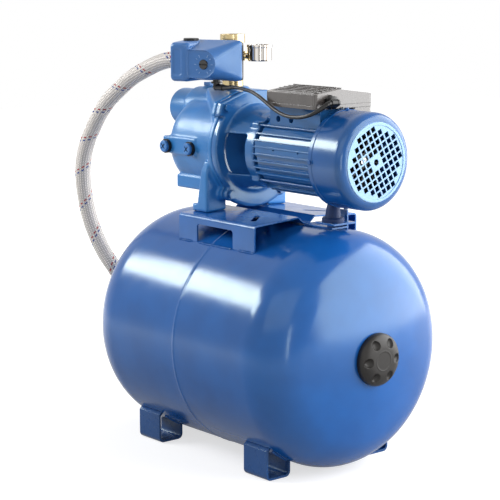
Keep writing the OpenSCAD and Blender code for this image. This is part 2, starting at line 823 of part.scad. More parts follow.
module ball_bearing() {
    ring(bearing_r, bearing_r - 3, bearing_w);
    ring(shaft_r + 3, shaft_r + 0.02, bearing_w);
    around([0:40:320]) translate([(bearing_r + shaft_r) / 2, 0, bearing_w / 2]) sphere(r = 2.2, $fn = 24);
}

module front_bearing() {
    row() color("silver") spun(front_bearing_x, axis_z) ball_bearing();
}

module rear_bearing() {
    row() color("silver") spun(rear_bearing_x, axis_z) ball_bearing();
}

// Finned tube with the box pedestal, the plate pad and the foot pad
module motor_frame() {
    row() color("steelblue") difference() {
        union() {
            spun(frame_x, axis_z) disc(frame_r, frame_l);
            spun(lantern_x + 20.2, axis_z) ring(frame_r - 6, bore_r - 2, 8);
            for (i = [0:fin_count - 1]) let (a = 360 * i / fin_count)
                if (abs(cos(a - rod_turns[0])) < 0.99 && abs(sin(a - rod_turns[0])) < 0.99)
                    around_x([a]) translate([frame_x - 6, -fin_t / 2, frame_r - 4])
                        cube([frame_l + 5, fin_t, fin_h + 4]);
            translate([pedestal_x, pedestal_y, axis_z + 30])
                cube([pedestal_l, pedestal_w, box_z - axis_z - 30]);
            translate([frame_x, -frame_r - 4, axis_z - 3]) cube([frame_l, 20, 24]);
            translate([foot_ring_x, 0, foot_pad_z]) disc(14, 12);
        }
        spun(frame_x - 10, axis_z) disc(bore_r, frame_l + 20);
        translate([foot_ring_x, 0, foot_pad_z - 20]) disc(15, 20);
        translate([opening_x, opening_y, axis_z + frame_r + 4]) cube([opening_l, opening_w, 60]);
        for (x = [82, 113]) translate([x, pedestal_y + 10, box_z - 22]) rotate([90, 0, 0]) disc(5, 20);
        for (x = [97, 156]) translate([x, -frame_r - 5, axis_z + 9]) rotate([-90, 0, 0]) disc(2, 4);
    }
}

module rear_shield() {
    row() color("steelblue") spun(frame_end - 12, axis_z) difference() {
        union() {
            turned([[0, 0], [bearing_r + 4, 0], [bearing_r + 4, 13], [40, 13], [40, 6],
                [bore_r - fit_gap, 6], [bore_r - fit_gap, 12], [frame_r + 1, 12], [frame_r + 1, 16],
                [0, 16]]);
            around(cover_screw_turns) translate([frame_r - 6, -5, 12.2])
                cube([cover_r - cover_wall - seat_gap - frame_r + 6, 10, 8]);
            around(rod_turns) translate([rod_circle, 0, 12.5]) disc(rod_lug_r, 3);
        }
        translate([0, 0, -1]) disc(12, 20);
        translate([0, 0, 2]) disc(bearing_r + fit_gap, bearing_w);
        around(rod_turns) translate([rod_circle, 0, -1]) disc(rod_r + pin_gap, 20);
        around(cover_screw_turns) translate([cover_r - 14, 0, 12 + cover_screw_x]) rotate([0, 90, 0])
            disc(cover_screw_r + 0.1, 20);
    }
}

module tie_rods() {
    row() color("silver") spun(rod_start, axis_z) around(rod_turns) translate([rod_circle, 0, 0]) {
        disc(rod_r, rod_l);
        translate([0, 0, rod_l]) hex(4, 3);
    }
}

module fan() {
    row() color("dimgray") spun(fan_x, axis_z) difference() {
        union() {
            disc(fan_r, 2);
            disc(12, fan_w);
            around([for (i = [0:blade_count - 1]) 360 * i / blade_count]) translate([11, -1, 1])
                cube([fan_r - 12, 2, fan_w - 2]);
        }
        translate([0, 0, -1]) disc(6 + 0.02, fan_w + 2);
    }
}

// Pressed cover with the square grid of air holes round a centre hole
module fan_cover() {
    shoulder = 15;
    face_r = cover_r - shoulder;
    reach = 23.5;
    half = grille_hole / 2;
    row() color("steelblue") spun(cover_x, axis_z) difference() {
        union() {
            turned(concat([[cover_r + 1, 0], [cover_r + 1, 7], [cover_r, 8]],
                arc(face_r, cover_l - shoulder, shoulder, 0, 90, 8), [[0, cover_l]],
                [[0, cover_l - cover_wall]],
                flip(arc(face_r, cover_l - shoulder, shoulder - cover_wall, 0, 90, 8)),
                [[cover_r - cover_wall, 0]]));
            translate([0, 0, cover_l - 1]) ring(face_r, face_r - 4, 2);
        }
        rotate([0, 0, grille_turn]) for (i = [-4.5:1:4.5]) for (j = [-4.5:1:4.5])
            if (i * i + j * j < reach && i * i + j * j > 1)
                translate([i * grille_pitch - half, j * grille_pitch - half, cover_l - 4])
                    cube([grille_hole, grille_hole, 8]);
        translate([0, 0, cover_l - 4]) disc(5, 8);
        around(cover_screw_turns) translate([cover_r - 6, 0, cover_screw_x]) rotate([0, 90, 0])
            disc(cover_screw_r + 0.3, 12);
    }
}

module fan_cover_screws() {
    row() color("silver") spun(cover_x, axis_z) around(cover_screw_turns) {
        translate([cover_r + 1.05, 0, cover_screw_x]) rotate([0, 90, 0]) disc(3.5, 2.4);
        translate([cover_r - 12, 0, cover_screw_x]) rotate([0, 90, 0]) disc(cover_screw_r, 14);
    }
}

module box_centre(z) {
    translate([box_x + box_l / 2, box_y + box_w / 2, z]) children();
}

// Tray over the pedestal, with a deeper well behind for the capacitor
module terminal_box_base() {
    well_w = box_y + box_w - well_y;
    front_y = 12 - box_w / 2;
    row() color([0.3, 0.29, 0.28]) difference() {
        union() {
            box_centre(box_z) slab(box_l, box_w, 7, seam_z - box_z);
            box_centre(well_z) translate([0, (box_w - well_w) / 2 - 0.5, 0])
                slab(box_l - 2, well_w, 6, box_z - well_z + 1);
        }
        box_centre(box_z + box_wall) slab(box_l - 2 * box_wall, box_w - 2 * box_wall, 5, seam_z - box_z);
        box_centre(well_z + box_wall) translate([0, (box_w - well_w) / 2 - 0.5, 0])
            slab(box_l - 2 - 2 * box_wall, well_w - 2 * box_wall, 4, seam_z - well_z);
        translate([opening_x, opening_y, box_z - 1]) cube([opening_l, opening_w, 10]);
    }
    row() color([0.3, 0.29, 0.28]) for (s = [-1, 1]) {
        box_centre(box_z + box_wall - 0.5) translate([s * screw_dx, front_y, 0])
            ring(5, 2 + pin_gap, seam_z - box_z - box_wall + 0.5);
        box_centre(well_z + box_wall - 0.5) translate([s * screw_dx, box_w / 2 - 14, 0])
            ring(5, 2 + pin_gap, seam_z - well_z - box_wall + 0.5);
    }
}

// Places of the four lid screws, with the height of their seats over the seam
module screw_spots() {
    for (s = [-1, 1]) {
        box_centre(seam_z) translate([s * screw_dx, 12 - box_w / 2, 5]) children();
        box_centre(seam_z) translate([s * screw_dx, box_w / 2 - 14, 1.5]) children();
    }
}

// Height of the lid's gabled top over the seam at a distance y from the box's middle
function lid_top(y) = let (ridge = lid_ridge_y - box_y - box_w / 2) lid_h
    - (y < ridge ? lid_front_drop * (ridge - y) / (ridge + box_w / 2)
    : lid_back_drop * (y - ridge) / (box_w / 2 - ridge));

// Outer form of the lid, with a low gable
module lid_form() {
    ridge = lid_ridge_y - box_y - box_w / 2;
    edge = box_w / 2 + 1;
    difference() {
        box_centre(seam_z) slab(box_l, box_w, 7, lid_h + 2);
        box_centre(seam_z) rotate([90, 0, 90]) translate([0, 0, -box_l]) linear_extrude(2 * box_l)
            polygon([[-edge, lid_top(-edge)], [ridge, lid_h], [edge, lid_top(edge)],
                [edge, lid_h + 3], [-edge, lid_h + 3]]);
    }
}

// Lid with cooling ribs over its front half and a notch at each front corner
module terminal_box_lid() {
    half_l = box_l / 2;
    inner = box_w / 2 - box_wall;
    ridge = lid_ridge_y - box_y - box_w / 2;
    rib_w = 2.4;
    row() color([0.3, 0.29, 0.28]) difference() {
        union() {
            difference() {
                lid_form();
                box_centre(seam_z) rotate([90, 0, 90]) translate([0, 0, box_wall - half_l])
                    linear_extrude(box_l - 2 * box_wall)
                        polygon([[-inner, -1], [inner, -1], [inner, lid_top(inner) - box_wall],
                            [ridge, lid_h - box_wall], [-inner, lid_top(-inner) - box_wall]]);
            }
            for (i = [0:rib_count - 1]) let (y = rib_y - box_y - box_w / 2 + rib_pitch * i)
                box_centre(seam_z + lid_top(y) - 2) translate([9 - half_l, y - rib_w / 2, 0])
                    cube([box_l - 18, rib_w, 2 + rib_h]);
            intersection() {
                lid_form();
                screw_spots() translate([0, 0, -1.5]) disc(5.5, 20);
            }
        }
        screw_spots() {
            disc(4.3, 20);
            translate([0, 0, -3]) disc(2 + pin_gap, 10);
        }
        spun(box_x + box_l - 5, gland_z, gland_y) disc(gland_thread_r + 0.2, 10);
        for (s = [-1, 1]) box_centre(seam_z - 1) translate([s * (half_l - 3), -box_w / 2 - 0.6, 0])
            disc(2.6, lid_h + 4);
    }
}

module lid_screws() {
    row() color("silver") screw_spots() {
        disc(4, 2.5);
        translate([0, 0, -7]) disc(2, 8);
    }
}

module capacitor() {
    can_z = well_z + box_wall + can_r + seat_gap;
    row() color("lightgray") spun(box_x + 22, can_z, (well_y + box_y + box_w) / 2 - 0.5) disc(can_r, 74);
}

module terminal_strip() {
    row() color("ivory") translate([frame_x + 50, -34, axis_z + frame_r + 4]) cube([58, 20, 20]);
}

// Gland with its nut and a right-angle boot turned to the front
module motor_gland() {
    boot_r = 6;
    reach = 17;
    row() color([0.1, 0.1, 0.1]) spun(box_x + box_l, gland_z, gland_y) {
        hex(11.5, 5);
        turned([[0, 5], [10, 5], [10, 11], [boot_r, 13], [0, 13]]);
        translate([0, 0, -4]) disc(gland_thread_r, 5);
        disc(boot_r - 0.5, reach);
        translate([0, 0, reach]) {
            sphere(r = boot_r, $fn = 48);
            rotate([90, 0, 0]) disc(boot_r - 0.5, motor_boot_l);
        }
    }
}

// Brass block: inlet below, outlet above, ports to the switch, the gauge and the hose
module five_way_fitting() {
    row() color("goldenrod") difference() {
        union() {
            translate([delivery_x, 0, delivery_z]) {
                translate([0, 0, -14]) disc(16.5, 15);
                disc(fitting_r - 0.5, 12);
                disc(fitting_r, fitting_h);
                translate([0, 0, fitting_h - 14]) disc(fitting_r + 3, 14);
            }
            fitting_frame(port_z) {
                rotate([0, 90, 0]) disc(11, switch_x0);
                rotate([90, 0, 0]) disc(15, hose_port_l);
            }
            fitting_frame(gauge_z) rotate([-90, 0, 0]) disc(8, gauge_stem_l);
        }
        translate([delivery_x, 0, delivery_z - 15]) disc(12, fitting_h + 16);
        translate([delivery_x, 0, fitting_top - 16]) disc(port_d / 2, 17);
        fitting_frame(port_z) rotate([0, 90, 0]) disc(4, switch_x0 + 1);
        fitting_frame(port_z) rotate([90, 0, 0]) disc(hose_bore_r, hose_port_l + 1);
        fitting_frame(gauge_z) rotate([-90, 0, 0]) disc(3, gauge_stem_l + 1);
    }
}

module switch_slab(depth, inset, r) {
    translate([0, switch_y0 + switch_w / 2, switch_dz]) rotate([0, 90, 0])
        slab(switch_h - 2 * inset, switch_w - 2 * inset, r, depth);
}

module switch_base() {
    row() color([0.1, 0.1, 0.1]) fitting_frame(port_z) difference() {
        union() {
            translate([switch_x0, 0, 0]) switch_slab(switch_base_t, 0, 6);
            translate([switch_root, 0, 0]) rotate([0, 90, 0]) disc(14, 14);
            translate([switch_root, knob_y, knob_dz]) rotate([0, 90, 0]) disc(7, 12);
        }
        translate([switch_x0 - 1, 0, 0]) rotate([0, 90, 0]) disc(4, 14);
        translate([switch_root, knob_y, knob_dz]) rotate([0, 90, 0]) disc(2 + pin_gap, 30);
    }
}

// Skin of the switch cover: rim, sloping sides and the raised end
module switch_skin(d) {
    face = switch_depth - d;
    y0 = switch_y0 + d;
    y1 = switch_y0 + switch_w - d;
    h = switch_h / 2 - d;
    hull() {
        translate([0, (y0 + y1) / 2, 0]) rotate([0, 90, 0]) slab(2 * h, y1 - y0, 6, 12);
        translate([face - 8, (y0 + y1) / 2 - 14, 0]) rotate([0, 90, 0]) slab(2 * h - 14, y1 - y0 - 34, 6, 6);
    }
    hull() {
        translate([4, y0 + 17, 0]) rotate([0, 90, 0]) slab(2 * h, 34, 6, 20);
        translate([face - 4, y0 + 17, 0]) rotate([0, 90, 0]) slab(2 * h - 8, 28, 5, 4);
    }
}

module switch_cover() {
    row() color("steelblue") fitting_frame(port_z) translate([switch_root, 0, switch_dz])
        difference() {
            switch_skin(0);
            translate([-0.1, 0, 0]) switch_skin(2.5);
            translate([switch_depth - 14, knob_y, knob_dz - switch_dz]) rotate([0, 90, 0])
                disc(knob_d / 2 + 0.3, 20);
            translate([14, top_gland_y, 0]) disc(6.2, 60);
            translate([low_gland_s - switch_root, low_gland_y, -60]) disc(6.2, 60);
        }
}

module switch_knob() {
    row() color([0.1, 0.1, 0.1]) fitting_frame(port_z) translate([knob_face - 18, knob_y, knob_dz])
        rotate([0, 90, 0]) difference() {
            union() {
                disc(knob_d / 2, 16);
                translate([0, 0, -24]) disc(2, 25);
            }
            translate([-1.2, -knob_d, 13]) cube([2.4, 2 * knob_d, 5]);
        }
}

// Spare entry on top, closed by its blank disc
module switch_gland_top() {
    row() color([0.1, 0.1, 0.1]) fitting_frame(port_z + switch_dz + switch_h / 2)
        translate([switch_root + 14, top_gland_y, 0]) {
            turned([[0, 0], [13, 0], [13, 3], [12, 4], [0, 4]]);
            translate([0, 0, -4]) disc(6, 5);
        }
}

// Right-angle boot under the switch that sends the lead off towards the motor
module switch_gland_bottom() {
    boot_r = 6;
    drop = 3 + boot_r;
    row() color([0.1, 0.1, 0.1]) fitting_frame(port_z + switch_dz - switch_h / 2)
        translate([low_gland_s, low_gland_y, 0]) {
            translate([0, 0, -3]) disc(9, 3);
            translate([0, 0, -1]) disc(6, 5);
            translate([0, 0, -drop]) {
                sphere(r = boot_r, $fn = 48);
                disc(boot_r - 0.5, drop);
                rotate([0, 0, -turn_n]) spun(0) disc(boot_r - 0.5, boot_l);
            }
        }
}

module gauge_place() {
    fitting_frame(gauge_z + gauge_lift) translate([0, gauge_s, 0]) children();
}

module gauge_case() {
    row() color("silver") gauge_place() difference() {
        union() {
            translate([0, 0, -gauge_h / 2]) turned([[0, 0], [gauge_d / 2 - 2, 0], [gauge_d / 2 - 1, 2],
                [gauge_d / 2 - 1, gauge_h - 5], [gauge_d / 2, gauge_h - 4], [gauge_d / 2, gauge_h],
                [0, gauge_h]]);
            translate([0, 0, -gauge_lift]) rotate([90, 0, 0]) disc(5, gauge_d / 2 + gauge_stub_l);
        }
        translate([0, 0, -gauge_h / 2 + 3]) disc(gauge_d / 2 - 3, gauge_h);
    }
}

module gauge_dial() {
    row() color("white") gauge_place() translate([0, 0, gauge_h / 2 - 9]) ring(gauge_d / 2 - 3.1, 1.1, 1);
}

module gauge_needle() {
    row() color("black") gauge_place() translate([0, 0, gauge_h / 2 - 7.6]) {
        disc(2.5, 1);
        translate([-5, -0.6, 0]) cube([gauge_d / 2, 1.2, 0.8]);
        translate([0, 0, -9]) disc(1, 9.5);
    }
}

module gauge_glass() {
    row() color([0.8, 0.9, 1, 0.4]) gauge_place() translate([0, 0, gauge_h / 2 - 3])
        disc(gauge_d / 2 - 3.1, 2);
}

// Spindle bearing of the needle, carrying the dial
module gauge_movement() {
    row() color("goldenrod") gauge_place() translate([0, 0, 3 - gauge_h / 2])
        ring(5, 1 + pin_gap, gauge_h - 12);
}

// Snap-action contact block beside the diaphragm housing
module switch_contacts() {
    row() color("ivory") fitting_frame(port_z) translate([switch_root, switch_y0 + 10, -14])
        difference() {
            cube([22, 32, 36]);
            for (z = [6:8:30]) translate([18, 4, z]) cube([6, 24, 4]);
        }
}

// Crimped hose end: a nut and a sleeve, standing along +Z
module hose_end(nut_r, bore) {
    difference() {
        union() {
            hex(nut_r, nut_l);
            translate([0, 0, nut_l]) turned([[0, 0], [hose_r + 1.5, 0], [hose_r + 1.5, sleeve_l - 2],
                [hose_r + 0.8, sleeve_l], [0, sleeve_l]]);
        }
        translate([0, 0, -1]) disc(bore, nut_l + sleeve_l + 2);
    }
}

module hose_top_end() {
    row() color("silver") fitting_frame(port_z) translate([0, -hose_port_l, 0]) rotate([90, 0, 0])
        hose_end(20, hose_bore_r);
}

module hose_bottom_end() {
    row() color("silver") translate([-elbow_x, 0, tank_axis_z]) rotate([elbow_lean, 0, 0])
        translate([0, 0, elbow_arm]) hose_end(elbow_r, hose_bore_r);
}

// Elbow with the union nut that draws it onto the tank's stub
module hose_elbow() {
    row() color("silver") spun(-union_x, tank_axis_z) difference() {
        hex(union_r, union_l);
        translate([0, 0, -1]) disc(port_d / 2 - 2, union_l + 2);
    }
    row() color("silver") translate([-elbow_x, 0, tank_axis_z]) difference() {
        union() {
            spun(0) disc(15, elbow_x - union_x);
            spun(elbow_x - union_x - 12) hex(19, 12);
            spun(-elbow_r) turned([[0, 0], [elbow_r - 8, 0], [elbow_r - 2, 3], [elbow_r, 9],
                [elbow_r, 2 * elbow_r - 6], [elbow_r - 3, 2 * elbow_r], [0, 2 * elbow_r]]);
            rotate([elbow_lean, 0, 0]) disc(14, elbow_arm);
        }
        spun(-6) disc(8, 80);
        rotate([elbow_lean, 0, 0]) translate([0, 0, -4]) disc(7, 60);
    }
}

// Tube of the given radius through a list of points, closed at both ends.
// No stretch of it may run along the direction flat.
module tube(points, r, sides, flat) {
    n = len(points);
    dirs = [for (i = [0:n - 1]) unit(i == 0 ? points[1] - points[0] :
        i == n - 1 ? points[n - 1] - points[n - 2] :
        unit(points[i + 1] - points[i]) + unit(points[i] - points[i - 1]))];
    rings = [for (i = [0:n - 1]) let (d = dirs[i], side = unit(cross(d, flat)), up = cross(side, d))
        for (k = [0:sides - 1]) let (a = 360 * k / sides) points[i] + r * (cos(a) * side + sin(a) * up)];
    polyhedron(rings, concat(
        [[for (k = [0:sides - 1]) k]],
        [for (i = [0:n - 2]) for (k = [0:sides - 1])
            let (a = i * sides + k, b = i * sides + (k + 1) % sides) [b, a, a + sides, b + sides]],
        [[for (k = [sides - 1:-1:0]) (n - 1) * sides + k]]));
}

module hose() {
    row() color("lightgray") tube(hose_route, hose_r, 10, [0, 1, 0]);
}

module lead() {
    row() color([0.08, 0.08, 0.08]) tube(lead_route, lead_r, 8, [0, 0, 1]);
}

tank_shell_front();
tank_shell_rear();
tank_membrane();
tank_flange();
flange_bolts();
air_valve();
air_valve_cap();
tank_feet();
pump_saddle();
motor_support();
motor_foot();
saddle_bolts();
pump_body();
side_plugs();
plug_washers();
fill_plug();
drain_plug();
ejector();
diffuser();
impeller();
seal_head();
seal_seat();
body_o_ring();
adapter();
flange_screws();
shaft();
rotor_core();
stator_core();
stator_windings();
front_bearing();
rear_bearing();
motor_frame();
rear_shield();
tie_rods();
fan();
fan_cover();
fan_cover_screws();
terminal_box_base();
terminal_box_lid();
lid_screws();
capacitor();
terminal_strip();
motor_gland();
five_way_fitting();
switch_base();
switch_contacts();
switch_cover();
switch_knob();
switch_gland_top();
switch_gland_bottom();
gauge_case();
gauge_movement();
gauge_dial();
gauge_needle();
gauge_glass();
hose_top_end();
hose_bottom_end();
hose_elbow();
hose();
lead();
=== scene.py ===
# %% [markdown]
# # Booster pump set
# The set is a self-priming pump on a lying pressure tank. Its shape, sizes and moving bodies come
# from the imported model, which loads as a fixed frame. This lesson only dresses that frame. Every
# cell makes one piece or one finish in the frame's own coordinates, so nothing has to be fitted.

# %% Load the frame
import json
import math
import bmesh
import bpy
import numpy as np
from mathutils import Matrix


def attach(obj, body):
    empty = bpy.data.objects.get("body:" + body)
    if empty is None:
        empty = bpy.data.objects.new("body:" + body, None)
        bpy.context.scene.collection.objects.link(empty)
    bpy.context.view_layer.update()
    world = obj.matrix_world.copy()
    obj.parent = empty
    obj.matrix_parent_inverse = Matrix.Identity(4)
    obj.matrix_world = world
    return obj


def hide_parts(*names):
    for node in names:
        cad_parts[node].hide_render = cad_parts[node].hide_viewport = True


with open("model.json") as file:
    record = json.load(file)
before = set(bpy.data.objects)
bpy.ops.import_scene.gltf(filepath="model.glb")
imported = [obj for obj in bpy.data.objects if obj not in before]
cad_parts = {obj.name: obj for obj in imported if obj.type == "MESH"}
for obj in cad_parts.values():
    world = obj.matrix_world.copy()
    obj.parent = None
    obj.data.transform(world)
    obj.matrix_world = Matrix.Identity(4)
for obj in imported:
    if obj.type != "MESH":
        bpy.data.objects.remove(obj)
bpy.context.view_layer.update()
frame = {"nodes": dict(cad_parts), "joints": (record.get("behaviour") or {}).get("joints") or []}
nodes = frame["nodes"]
joint_at = {j["name"]: j for j in frame["joints"]}
ROW_X, _, AXIS_Z = joint_at["rotor_spin"]["pos_m"]
print("frame", len(nodes), "nodes; pump axis at height", AXIS_Z, "set shifted by", ROW_X)


def mm(x, y, z):
    """A point given in millimetres from the tank's middle, as a point of the frame in metres."""
    return np.array([x, y, z], float) / 1000 + (ROW_X, 0, 0)


# %% [markdown]
# ## Camera
# The photograph was taken from a little above, at about 50 degrees round from the long side, with a
# long lens. The two angles, the distance and the lens were worked out from the tank's outline.
# Setting them as numbers keeps them the same for every render, which dragging a camera wouldn't.

# %% Camera
CAMERA_TURN, CAMERA_RISE, CAMERA_AWAY = math.radians(49.52), math.radians(10.584), 2.763
look_from = np.array([math.sin(CAMERA_TURN) * math.cos(CAMERA_RISE),
                      -math.cos(CAMERA_TURN) * math.cos(CAMERA_RISE), math.sin(CAMERA_RISE)])
# The lens, and how far the frame slides off its axis, as a share of the frame's width.
LENS_MM, SLIDE_RIGHT, SLIDE_UP = 117.72, -0.0282, 0.0454
camera = bpy.data.objects.new("camera", bpy.data.cameras.new("camera"))
bpy.context.scene.collection.objects.link(camera)
camera.location = mm(0, 0, 300) + CAMERA_AWAY * look_from
camera.rotation_euler = (math.pi / 2 - CAMERA_RISE, 0, CAMERA_TURN)
camera.data.sensor_width = 36
camera.data.lens = LENS_MM
camera.data.shift_x, camera.data.shift_y = SLIDE_RIGHT, SLIDE_UP
camera.data.clip_end = 50
bpy.context.scene.camera = camera
print("camera at", [round(v, 3) for v in camera.location])

# %% [markdown]
# ## Surfaces from numbers
# Each new piece is a grid of points worked out by a formula, and one helper turns any such grid
# into a mesh. It could be modelled by hand as well. Whole arrays are fast, and they keep the shape
# readable: the formula is the piece.


# %% Grid to mesh
def link(name, mesh):
    """A new object of that name holding the mesh, put into the scene."""
    piece = bpy.data.objects.new(name, mesh)
    bpy.context.scene.collection.objects.link(piece)
    return piece


def surface(name, grid, around=True, caps=(False, False), metres_along=None, crease=40):
    """Mesh of a grid of points: row i, column j is joined to its neighbours by four-sided faces.
    With around, the last column joins the first. A cap closes an end row with one face. Faces turn
    outward: the signed volume, the sum of a . (b x c) / 6 over the faces, must come out positive.
    The first UV value counts once round the columns, the second is the length along the rows."""
    rows, cols = grid.shape[:2]
    faces_round = cols if around else cols - 1
    i, j = np.meshgrid(np.arange(rows - 1), np.arange(faces_round), indexing="ij")
    quads = np.stack([i * cols + j, i * cols + (j + 1) % cols,
                      (i + 1) * cols + (j + 1) % cols, (i + 1) * cols + j], -1).reshape(-1, 4)
    p = grid.reshape(-1, 3) - grid.reshape(-1, 3).mean(0)
    a, b, c, d = (p[quads[:, k]] for k in range(4))
    inward = float((a * (np.cross(b, c) + np.cross(c, d))).sum()) < 0
    order = -1 if inward else 1
    quads = quads[:, ::order]
    ends = [np.arange(cols)[::-order]] if caps[0] else []
    ends += [np.arange(cols)[::order] + (rows - 1) * cols] if caps[1] else []
    mesh = bpy.data.meshes.new(name)
    mesh.from_pydata(grid.reshape(-1, 3), [], quads.tolist() + [e.tolist() for e in ends])
    along = np.arange(rows) if metres_along is None else metres_along
    u = np.stack([j, j + 1, j + 1, j], -1).reshape(-1, 4)[:, ::order] / faces_round
    v = np.stack([along[i], along[i], along[i + 1], along[i + 1]], -1).reshape(-1, 4)[:, ::order]
    uv = np.zeros((len(mesh.loops), 2))
    uv[:u.size] = np.stack([u.ravel(), v.ravel()], -1)
    mesh.uv_layers.new(name="UVMap").data.foreach_set("uv", uv.ravel())
    mesh.polygons.foreach_set("use_smooth", np.ones(len(mesh.polygons), bool))
    mesh.set_sharp_from_angle(angle=math.radians(crease))
    mesh.update()
    return link(name, mesh)


def joined(name, pieces):
    """One object made of several surfaces."""
    parts = [piece.data for piece in pieces]
    points, faces, first = [], [], 0
    for part in parts:
        xyz = np.zeros(3 * len(part.vertices))
        part.vertices.foreach_get("co", xyz)
        points.append(xyz.reshape(-1, 3))
        faces += [[v + first for v in face.vertices] for face in part.polygons]
        first += len(part.vertices)
    mesh = bpy.data.meshes.new(name)
    mesh.from_pydata(np.vstack(points), [], faces)
    mesh.polygons.foreach_set("use_smooth", np.ones(len(faces), bool))
    mesh.set_sharp_from_angle(angle=math.radians(40))
    mesh.update()
    for piece in pieces:
        bpy.data.objects.remove(piece)
    return link(name, mesh)


def spun(name, profile, at, count=256, swell=None, **options):
    """Surface of revolution about a line along X through the point at: profile rows are
    (x, radius) in millimetres, and swell(angle, x, radius) adds to the radius."""
    x, r = np.asarray(profile, float).T[:, :, None]
    angle = np.linspace(0, 2 * np.pi, count, endpoint=False)[None, :]
    r = r + (swell(angle, x, r) if swell else 0 * angle)
    grid = np.stack([x + 0 * r, r * np.cos(angle), r * np.sin(angle)], -1) / 1000 + at
    return surface(name, grid, **options)


def arc(cx, cy, r, start, stop, count):
    """Points of a circular arc, angles in degrees."""
    a = np.radians(np.linspace(start, stop, count))
    return np.stack([cx + r * np.cos(a), cy + r * np.sin(a)], -1)


def smooth_line(points, count):
    """Points evenly along the smooth curve through the given ones: each coordinate is a natural
    cubic spline over the straight distance run so far."""
    points = np.asarray(points, float)
    run = np.concatenate([[0], np.cumsum(np.linalg.norm(np.diff(points, axis=0), axis=1))])
    h = np.diff(run)
    n = len(run)
    system, right = np.eye(n), np.zeros((n, 3))
    k = np.arange(1, n - 1)
    system[k, k - 1], system[k, k], system[k, k + 1] = h[:-1], 2 * (h[:-1] + h[1:]), h[1:]
    slope = np.diff(points, axis=0) / h[:, None]
    right[1:-1] = 6 * np.diff(slope, axis=0)
    bend = np.linalg.solve(system, right)
    t = np.linspace(0, run[-1], 4000)
    s = np.clip(np.searchsorted(run, t, side="right") - 1, 0, n - 2)
    a, b, w = (run[s + 1] - t)[:, None], (t - run[s])[:, None], h[s][:, None]
    line = (bend[s] * a ** 3 + bend[s + 1] * b ** 3) / (6 * w)
    line += (points[s] / w - bend[s] * w / 6) * a + (points[s + 1] / w - bend[s + 1] * w / 6) * b
    length = np.concatenate([[0], np.cumsum(np.linalg.norm(np.diff(line, axis=0), axis=1))])
    at = np.linspace(0, length[-1], count)
    return np.stack([np.interp(at, length, line[:, c]) for c in range(3)], -1), at


def tube(name, line, at, radius, sides, flat):
    """Tube round a line: each ring is centre + radius (cos angle side + sin angle up), with side
    and up square to the line. No stretch of the line may run along the direction flat."""
    ahead = np.gradient(line, axis=0)
    ahead /= np.linalg.norm(ahead, axis=1)[:, None]
    side = np.cross(flat, ahead)
    side /= np.linalg.norm(side, axis=1)[:, None]
    up = np.cross(ahead, side)
    angle = np.linspace(0, 2 * np.pi, sides, endpoint=False)[None, :, None]
    radius = np.broadcast_to(radius, len(line))[:, None, None]
    grid = line[:, None] + radius * (np.cos(angle) * side[:, None] + np.sin(angle) * up[:, None])
    return surface(name, grid, caps=(True, True), metres_along=at)


# %% [markdown]
# ## Hose and lead
# The braided hose leaves the fitting level, droops under its own stiffness and comes down to the
# elbow behind the tank. A cord's length is fixed, so the route comes first and the tube follows it.

# %% Hose
# In millimetres: the fitting's and the elbow's middle. The fitting is turned by 68 degrees, and the
# elbow points up at 33 degrees from upright.
FITTING, ELBOW = np.array([-82, 0, 652]), np.array([-380.97, 0, 200])
FITTING_TURN, ELBOW_LEAN = math.radians(-68), math.radians(33)
to_switch = np.array([math.cos(FITTING_TURN), math.sin(FITTING_TURN), 0])
to_gauge = np.array([-to_switch[1], to_switch[0], 0])
up_elbow = np.array([0, -math.sin(ELBOW_LEAN), math.cos(ELBOW_LEAN)])
HOSE_R, LEAD_R = 0.014, 0.003
hose_start = FITTING - 70 * to_gauge
hose_stop = ELBOW + 56 * up_elbow
# The middle of the route follows the photograph, and its two hidden ends are guessed.
hose_points = np.vstack([hose_start, hose_start - 14 * to_gauge,
    [[-200, -48, 650], [-225, -55, 642], [-252, -62, 630], [-280, -69, 615], [-305, -74, 597],
     [-330, -79, 577], [-352, -83, 553], [-372, -85, 527], [-390, -86, 500], [-403, -86, 473],
     [-412, -84, 445], [-417, -80, 417], [-419, -75, 390], [-418, -70, 363], [-413, -64, 335],
     [-404, -57, 308], [-393, -50, 284]],
    hose_stop + 14 * up_elbow, hose_stop]) / 1000 + (ROW_X, 0, 0)
hose_line, hose_at = smooth_line(hose_points, 300)
hose = tube("hose_braid", hose_line, hose_at, HOSE_R, 48, (0, 1, 0))
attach(hose, "set")
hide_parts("hose")
print("hose", round(float(hose_at[-1]), 3), "m long")

# %% [markdown]
# The lead is a thin black mains cord. It sets off level from the boot under the switch, lies
# against the motor and turns into the boot of the terminal box. It is a tube like the hose, because
# a bent cylinder would lose its even thickness in the turns.

# %% Lead
lead_start = FITTING - (0, 0, 40) + 58 * to_switch + to_gauge + (18, 0, 0)
lead_stop = np.array([210, -44, 601])
lead_points = np.vstack([lead_start, lead_start + (10, 0, 0),
    [[-16, -53, 613.5], [-2, -53, 613.5], [12, -55, 612.5], [26, -58, 611.5], [40, -61, 610],
     [54, -64, 607], [67, -66, 603], [79, -67, 598], [91, -68, 592.5], [103, -69, 587.5],
     [116, -70, 583], [130, -71, 579.5], [144, -72, 577.6], [158, -72, 577.3], [171, -72, 578.3],
     [183, -71.5, 580.5], [193.5, -69, 584], [202, -63.5, 589.5], [207.6, -56.5, 595.5]],
    lead_stop - (0.3, 6, 1.5), lead_stop]) / 1000 + (ROW_X, 0, 0)
lead_line, lead_at = smooth_line(lead_points, 220)
lead = tube("lead_cord", lead_line, lead_at, LEAD_R, 20, (0, 0, 1))
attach(lead, "set")
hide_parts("lead")
print("lead", round(float(lead_at[-1]), 3), "m long")

# %% [markdown]
# Each end of the lead sits in a rubber sleeve that tapers onto the cord, so that it can't be bent
# sharply where it leaves the boot. The taper runs along the cord's own line.

